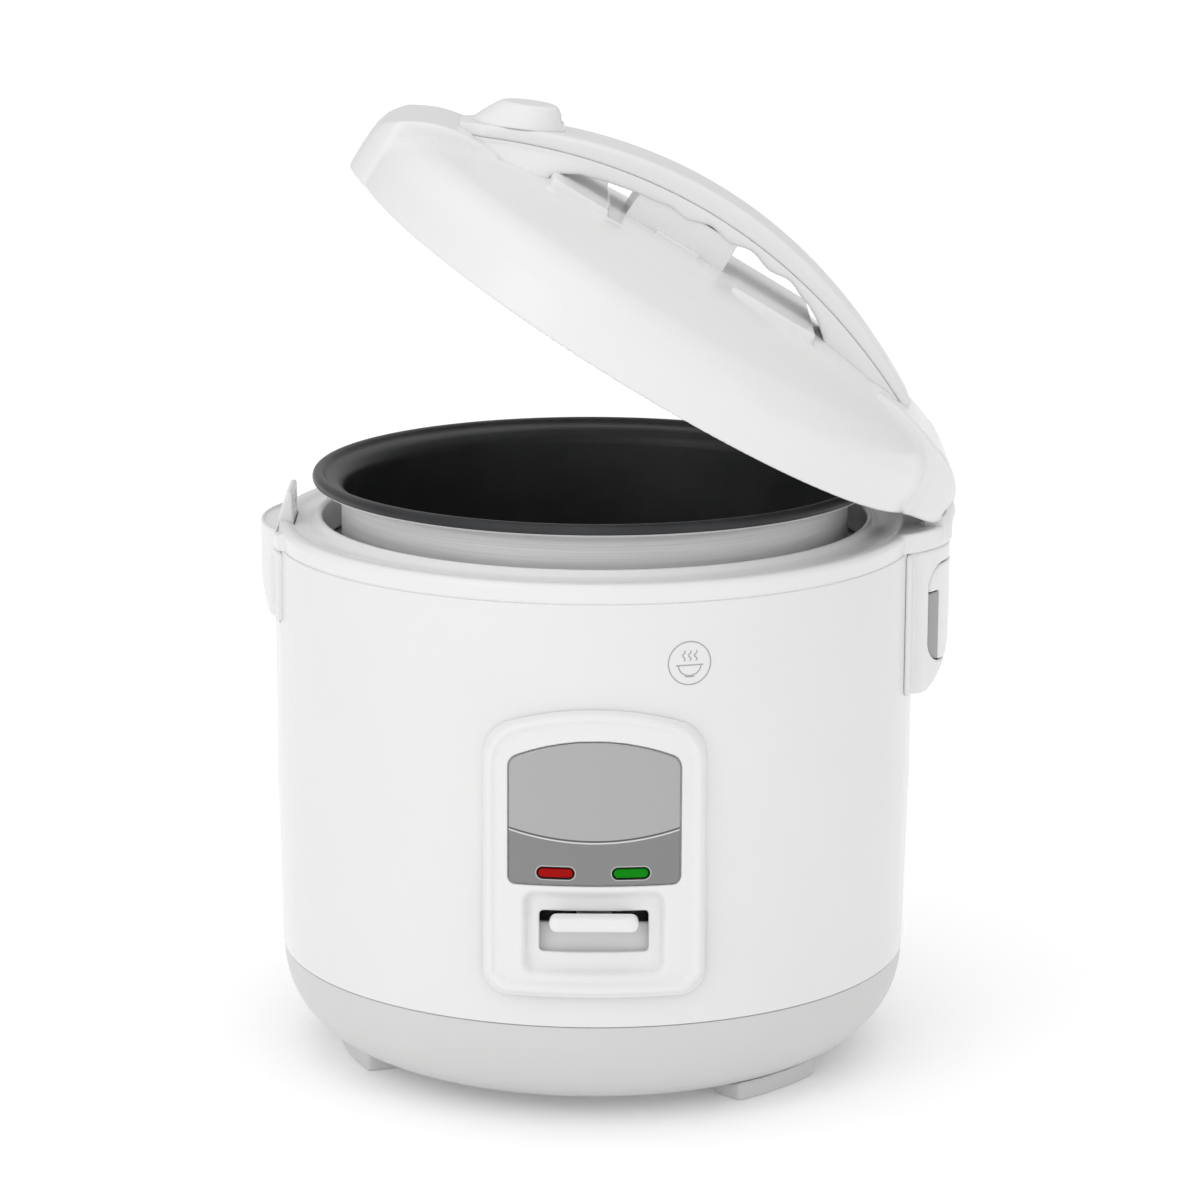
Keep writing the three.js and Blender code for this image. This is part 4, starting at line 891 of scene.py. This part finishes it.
def lid_shell_form(x, y, h):
    dome = turned_form(x, y, h, flow(DOME_INSIDE, 4) + [(0, -5), (129.8, -5)])
    boss = [(u + 2.3, v - 2.4 if v > 2 else -4) for u, v in LATCH_BOSS] + [(-88, 20), (-112, -4)]
    latch_room = np.maximum(polygon(x, h, boss), disc(x, y, -77.4, 0, 57.9))
    latch_room = np.maximum(latch_room, slab(y, -27.8, 27.8))
    hinge_room = np.maximum(brick(x, h, 116, 133.4, -4, 22), slab(y, -30.5, 30.5))
    cavity = np.maximum(brick(x, y, -62, 53, -40, 40), slab(h, 30, 40.6))
    sweep = np.minimum(disc(x, h, HINGE_X, HINGE_H, 6.6), brick(x, h, HINGE_X, 150, -3, 13.6))
    sweep = np.minimum(sweep, brick(x, h, HINGE_X - 6.9, 150, -3, HINGE_H))
    knuckles = np.maximum(sweep, slab(np.abs(y), 11.9, 18.4))
    middle = np.maximum(brick(x, h, 133, 150, -3, 13.4, 1), slab(y, -4.7, 4.7))
    pin = np.maximum(disc(x, h, HINGE_X, HINGE_H, PIN_HOLE_R), slab(y, -20, 20))
    shell = lid_form(x, y, h)
    for room in (dome, latch_room, hinge_room, cavity, knuckles, middle, pin, vent_bore(x, y, h)):
        shell = np.maximum(shell, -room)
    return shell


def handle_outline(x, y):
    """Half the handle's width in plan: it comes to a rounded V at the latch end."""
    return np.abs(y) - np.minimum(HANDLE_HALF, np.sqrt(np.maximum(x + 113, 0) * 26))


FINGER_PITCH = 19.6


def grip_form(x, y, h):
    line = np.linspace(46, -22, 40)
    grooves = [(u, 56.6 - 0.0028 * (u - 8) ** 2 + math.cos(u / FINGER_PITCH * 2 * math.pi)) for u in line]
    under = [(63, 42), (57, 47), (51, 50.4), *grooves, (-33, 53.4), (-44, 51.2), (-56, 48), (-63, 44.6),
             (-66, 42)]
    top = [(u, handle_seam(u) + 6) for u in np.linspace(-108, 102, 40)]
    outline = [(-118, 30), *top, (110, 30), (70, 30), *under, (-70, 30)]
    side = polygon(x, h, outline)
    # Below the seam the roots spread out to meet the lid.
    depth = np.maximum(handle_seam(x) - 2 - h, 0)
    ease = np.clip((np.abs(x) - 48) / 26, 0, 1)
    spread = ease * ease * (3 - 2 * ease) * np.where(x < 0, 0.95, 0.35) * depth
    body = smax(side, np.abs(y) - HANDLE_HALF - spread, 2.4)
    body = smax(body, handle_outline(x, y) - np.where(x < 0, spread, 0), 2.0)
    body = smax(body, h - handle_seam(x) + 0.04, 0.7)
    body = np.maximum(body, -(lid_form(x, y, h) + ROOT_SINK))
    return np.maximum(body, -vent_bore(x, y, h))


def cover_form(x, y, h):
    top = [(u, handle_back(u)) for u in np.linspace(-108, 108, 44)]
    low = [(u, handle_seam(u) - 6) for u in np.linspace(108, -108, 40)]
    side = polygon(x, h, top + low)
    body = smax(side, np.abs(y) - HANDLE_HALF + 0.2, 4.2)
    body = smax(body, handle_outline(x, y) + 0.2, 1.6)
    body = smax(body, handle_seam(x) + 0.02 - h, 0.7)
    body = np.maximum(body, -(lid_form(x, y, h) + ROOT_SINK))
    return np.maximum(body, -vent_bore(x, y, h))


def post_form(x, y, h):
    floor = INSET_FLOOR - 0.3
    outline = [(-32, floor), (14, floor), (13.4, 56.6), (0, 57), (-20, 56.2), (-31.4, 54.8)]
    tower = smax(polygon(x, h, outline), slab(y, -18, 18), 0.6)
    foot = smax(brick(x, y, -18, 2, -24, -16, 0.6), slab(h, floor, floor + 3.6), 0.4)
    return smin(tower, foot, 0.5)


def vent_cap_form(x, y, h):
    seat = handle_back(VENT_X)
    c, s = math.cos(VENT_TILT), math.sin(VENT_TILT)
    dx, dh = x - VENT_X, h - seat
    across, up = dx * c + dh * s, -dx * s + dh * c - 0.06
    rise = np.clip(up / VENT_HEIGHT, 0, 1)
    centre = across - 3.5 * rise
    radius = 19 - 7.6 * rise ** 1.15
    cone = (np.hypot(centre, y) - radius) * 0.75
    # The cap's foot follows the handle's back.
    cap = smax(smax(cone, up - VENT_HEIGHT, 1.5), np.maximum(handle_back(x) - 0.35 - h, -2 - up), 0.3)
    stem = np.maximum(np.hypot(across, y) - 6, slab(up, -7, 1))
    slot = smax(slab(y, -5, 5), brick(across, up, 8, 20, 2.4, 4.4, 0.5), 0.3)
    return np.maximum(np.minimum(cap, stem), -slot)


def make_lid():
    lid = dict(place=on_lid, body="lid")
    white = dict(WHITE_PART, **lid)
    sculpt("lid_dome", (-139.5, -134, -1.5), (149.5, 134, 47), 0.95, lid_shell_form,
           replaces=("lid_shell",), **white)
    sculpt("handle_lower", (-116, -42, 30), (110, 42, 64), 0.6, grip_form,
           replaces=("handle_grip",), **white)
    sculpt("handle_upper", (-116, -22, 30), (110, 22, 72), 0.5, cover_form, slot="white_plastic",
           material=WHITE_SATIN, replaces=("handle_cover",), **lid)
    sculpt("handle_tower", (-34, -25, 41), (16, 20, 58), 0.4, post_form,
           replaces=("handle_post",), **white)
    sculpt("vent_top", (-112, -21, 42), (-64, 21, 68), 0.4, vent_cap_form, place=on_lid, body="vent_cap",
           replaces=("steam_vent_cap",), **WHITE_PART)
    make_lid_inside(lid)


def make_lid_inside(lid):
    outline = eased([(0, 23), (119.8, 23), (119.8, 1), (129.4, 1), (129.4, 2.5), (121.3, 2.5), (121.3, 24.5),
                     (0, 24.5)], 0.8)
    dish = lathe("liner_dish", outline, SMALL_SEGMENTS, slot="liner_plastic", material=LINER,
                 replaces=("lid_liner", "liner_skirt"), **lid)
    # Notches in the dish's flange, for the latch's blade and for the hinge's two lugs.
    carve(dish, (-140, -121.5, -17, 17, -2, 20), (121.5, 140, -37, 37, -2, 8), place=on_lid)
    # The plate is pressed with rings between two radii.
    rings = [(r, 20.6 + 0.5 * (math.cos((r - 60) / 4) - 1) * (1 if 47 < r < 98 else 0))
             for r in np.linspace(20, 110, 90)]
    plate = [(5, 20.6), *rings, (112, 20.7), (112, 21.6), (5, 21.6)]
    lathe("inner_lid_disc", plate, SMALL_SEGMENTS, slot="pot_aluminium", material=SPUN,
          replaces=("inner_lid",), **lid)
    gasket = eased([(112.3, 20.3), (117.6, 20.3), (118.9, 21), (118.9, 22.7), (112.3, 22.7)], 0.6)
    lathe("lid_seal", gasket, SMALL_SEGMENTS, slot="silicone", material=RUBBER,
          replaces=("lid_gasket",), **lid)
    stud = [(0, 15.4), *flow([(5, 15.4), (7.6, 15.8), (9.4, 17.2), (9.6, 19), (8.6, 20.3)], 4), (4.6, 20.3),
            (4.6, 24.8), (8, 24.8), (8, 27), (0, 27)]
    lathe("lid_stud", stud, 64, slot="silicone", material=RUBBER, replaces=("inner_lid_stud",), **lid)


# ---------------------------------------------------------------- printed mark
def ribbon(name, strokes, width, material):
    """Printed strokes on the shell: each is a line of (across, up) millimetres on the developed surface."""
    points, faces = [], []
    radius = SHELL_R + 0.08
    for stroke in strokes:
        line = np.array(stroke, float)
        step = np.gradient(line, axis=0)
        normal = np.stack([-step[:, 1], step[:, 0]], axis=1)
        normal /= np.linalg.norm(normal, axis=1)[:, None]
        first = len(points)
        for edge in (line + normal * width / 2, line - normal * width / 2):
            for u, z in edge:
                a = u / radius - math.pi / 2
                points.append((radius * math.cos(a), radius * math.sin(a), z))
        n = len(line)
        faces += [(first + i, first + i + 1, first + n + i + 1, first + n + i) for i in range(n - 1)]
    return place_mesh(name, np.array(points), faces, body="housing", slot="shell_paint", material=material)


def make_mark():
    """A plain steaming bowl in a ring."""
    u, z, r = 37.9, 192.4, 8.6       # its place across and up, and its radius
    turn = np.linspace(0, 2 * math.pi, 73)
    circle = [(u + r * math.cos(t), z + r * math.sin(t)) for t in turn]
    half = np.linspace(math.pi, 2 * math.pi, 30)
    bowl = [(u + 4.6 * math.cos(t), z - 0.8 + 4.2 * math.sin(t)) for t in half]
    brim = [(u + x, z - 0.8) for x in np.linspace(-5.6, 5.6, 12)]
    foot = [(u + x, z - 5.4) for x in np.linspace(-1.9, 1.9, 6)]
    steam = [[(u + dx + 0.55 * math.sin(t * 2.2), z + 0.9 + t) for t in np.linspace(0, 4.1, 18)]
             for dx in (-2.4, 0, 2.4)]
    ribbon("bowl_mark", [circle, bowl, brim, foot, *steam], 0.42, PRINT)


# ---------------------------------------------------------------- carried-over frame nodes
def numbered(stem, count=3):
    return [f"{stem}_{i + 1}" for i in range(count)]


NODE_MATERIALS = {
    STEEL: [*numbered("foot_screw"), *numbered("plate_post"), *numbered("liner_screw", 2), "latch_pin",
            "latch_spring", "latch_keeper", "hinge_pin", "hinge_spring", "switch_pin", "switch_spring",
            "switch_frame", "thermostat_spring"],
    BRASS: numbered("inlet_pin"),
    BLACK: ["power_inlet", "micro_switch"],
    GALVANISED: ["keep_warm_heater", "thermostat_body"],
    PLATE_METAL: ["heating_plate", "thermostat_cap"],
    BOARD: ["lamp_board"],
    CERAMIC: ["terminal_block"],
    SLEEVE: ["thermal_fuse"],
    LAMP: ["cook_lamp", "ready_lamp"],
    LINER: ["steam_vent_tube"],
    MAGNET: ["magnet_plunger"],
}


def finish_nodes():
    for material, names in NODE_MATERIALS.items():
        for name in names:
            for held in frame["nodes"][name].material_slots:
                held.material = material


# ---------------------------------------------------------------- stage
def soft_box(name, size, place, aim, power):
    light = bpy.data.lights.new(name, "AREA")
    light.shape = "RECTANGLE"
    light.size, light.size_y = size
    light.energy = power
    holder = add_object(name, light)
    holder.location = place
    way = np.array(aim) - np.array(place)
    flat = math.hypot(way[0], way[1])
    holder.rotation_euler = (math.atan2(flat, -way[2]), 0, math.atan2(way[1], way[0]) - math.pi / 2)


SKY_BASE = 0.56  # all round
SKY_TOP = 0.8  # added overhead
SKY_FRONT = 0.5  # added in front
FRONT_X, FRONT_Y = -0.4, -0.917  # which way that is: a little to the left of the user
FLOOR_GLOW = 0.12  # the photograph is cut out on pure white
FLOOR_HALF = 12
KEY_POWER, FILL_POWER = 3.0, 1.0


def make_world():
    """A studio of white card: bright all round, and most overhead and in front."""
    world = bpy.data.worlds.new("studio")
    world.use_nodes = True
    nodes, links = world.node_tree.nodes, world.node_tree.links
    calc = calculator(nodes, links)
    way = nodes.new("ShaderNodeTexCoord")
    parts = nodes.new("ShaderNodeSeparateXYZ")
    links.new(way.outputs["Generated"], parts.inputs["Vector"])
    overhead = calc("POWER", calc("MAXIMUM", parts.outputs["Z"], 0.0), 3.0)
    above = calc("MULTIPLY", overhead, SKY_TOP)
    ahead = calc("MULTIPLY_ADD", parts.outputs["X"], FRONT_X, calc("MULTIPLY", parts.outputs["Y"], FRONT_Y))
    front = calc("MULTIPLY", calc("MAXIMUM", ahead, 0.0), SKY_FRONT)
    total = calc("ADD", calc("ADD", above, front), SKY_BASE)
    background = nodes["Background"]
    background.inputs["Color"].default_value = (1, 1, 1, 1)
    links.new(total, background.inputs["Strength"])
    return world


def make_stage():
    scene = bpy.context.scene
    mesh = bpy.data.meshes.new("floor")
    far = FLOOR_HALF
    mesh.from_pydata([(-far, -far, 0), (far, -far, 0), (far, far, 0), (-far, far, 0)], [], [(0, 1, 2, 3)])
    material, nodes, links, bsdf = shader("pale_floor")
    cloud = noise_of(nodes, links, 2)
    links.new(mixed(nodes, links, cloud, (0.955, 0.955, 0.955), (0.965, 0.965, 0.965)).outputs["Color"],
              bsdf.inputs["Base Color"])
    bsdf.inputs["Roughness"].default_value = 0.9
    bsdf.inputs["Specular IOR Level"].default_value = 0.1
    bsdf.inputs["Emission Color"].default_value = (1, 1, 1, 1)
    bsdf.inputs["Emission Strength"].default_value = FLOOR_GLOW
    mesh.materials.append(material)
    add_object("floor", mesh)

    scene.world = make_world()
    middle = (0, 0, 0.15)
    soft_box("key_left", (0.9, 1.4), (-1.5, -1.6, 1.0), middle, KEY_POWER)
    soft_box("fill_right", (0.7, 1.4), (1.6, -1.5, 0.9), middle, FILL_POWER)
    scene.view_settings.view_transform = "Standard"
    scene.view_settings.look = "None"
    scene.view_settings.exposure = 0.0


def make_camera():
    """At the photograph's angle: a long lens, a little above the rim."""
    lens, eye, aim, roll = 138.65, (2.38, -1871.57, 615.0), (2.38, 0, 188.5), math.radians(0.27)
    camera = bpy.data.cameras.new("camera")
    camera.lens = lens
    camera.sensor_width = 36
    camera.clip_end = 60
    holder = add_object("camera", camera)
    place = on_body(np.array([eye], float))[0]
    way = on_body(np.array([aim], float))[0] - place
    way /= np.linalg.norm(way)
    right = np.cross(way, (0, 0, 1))
    right /= np.linalg.norm(right)
    up = np.cross(right, way)
    right, up = (right * math.cos(roll) + up * math.sin(roll)), (up * math.cos(roll) - right * math.sin(roll))
    holder.matrix_world = Matrix([[right[i], up[i], -way[i], place[i]] for i in range(3)] + [[0, 0, 0, 1]])
    bpy.context.scene.camera = holder


make_camera()
make_base()
make_shell()
make_feet()
make_ring()
make_pot()
make_well()
make_sides()
make_panel()
make_key()
make_lid()
make_mark()
finish_nodes()
make_stage()
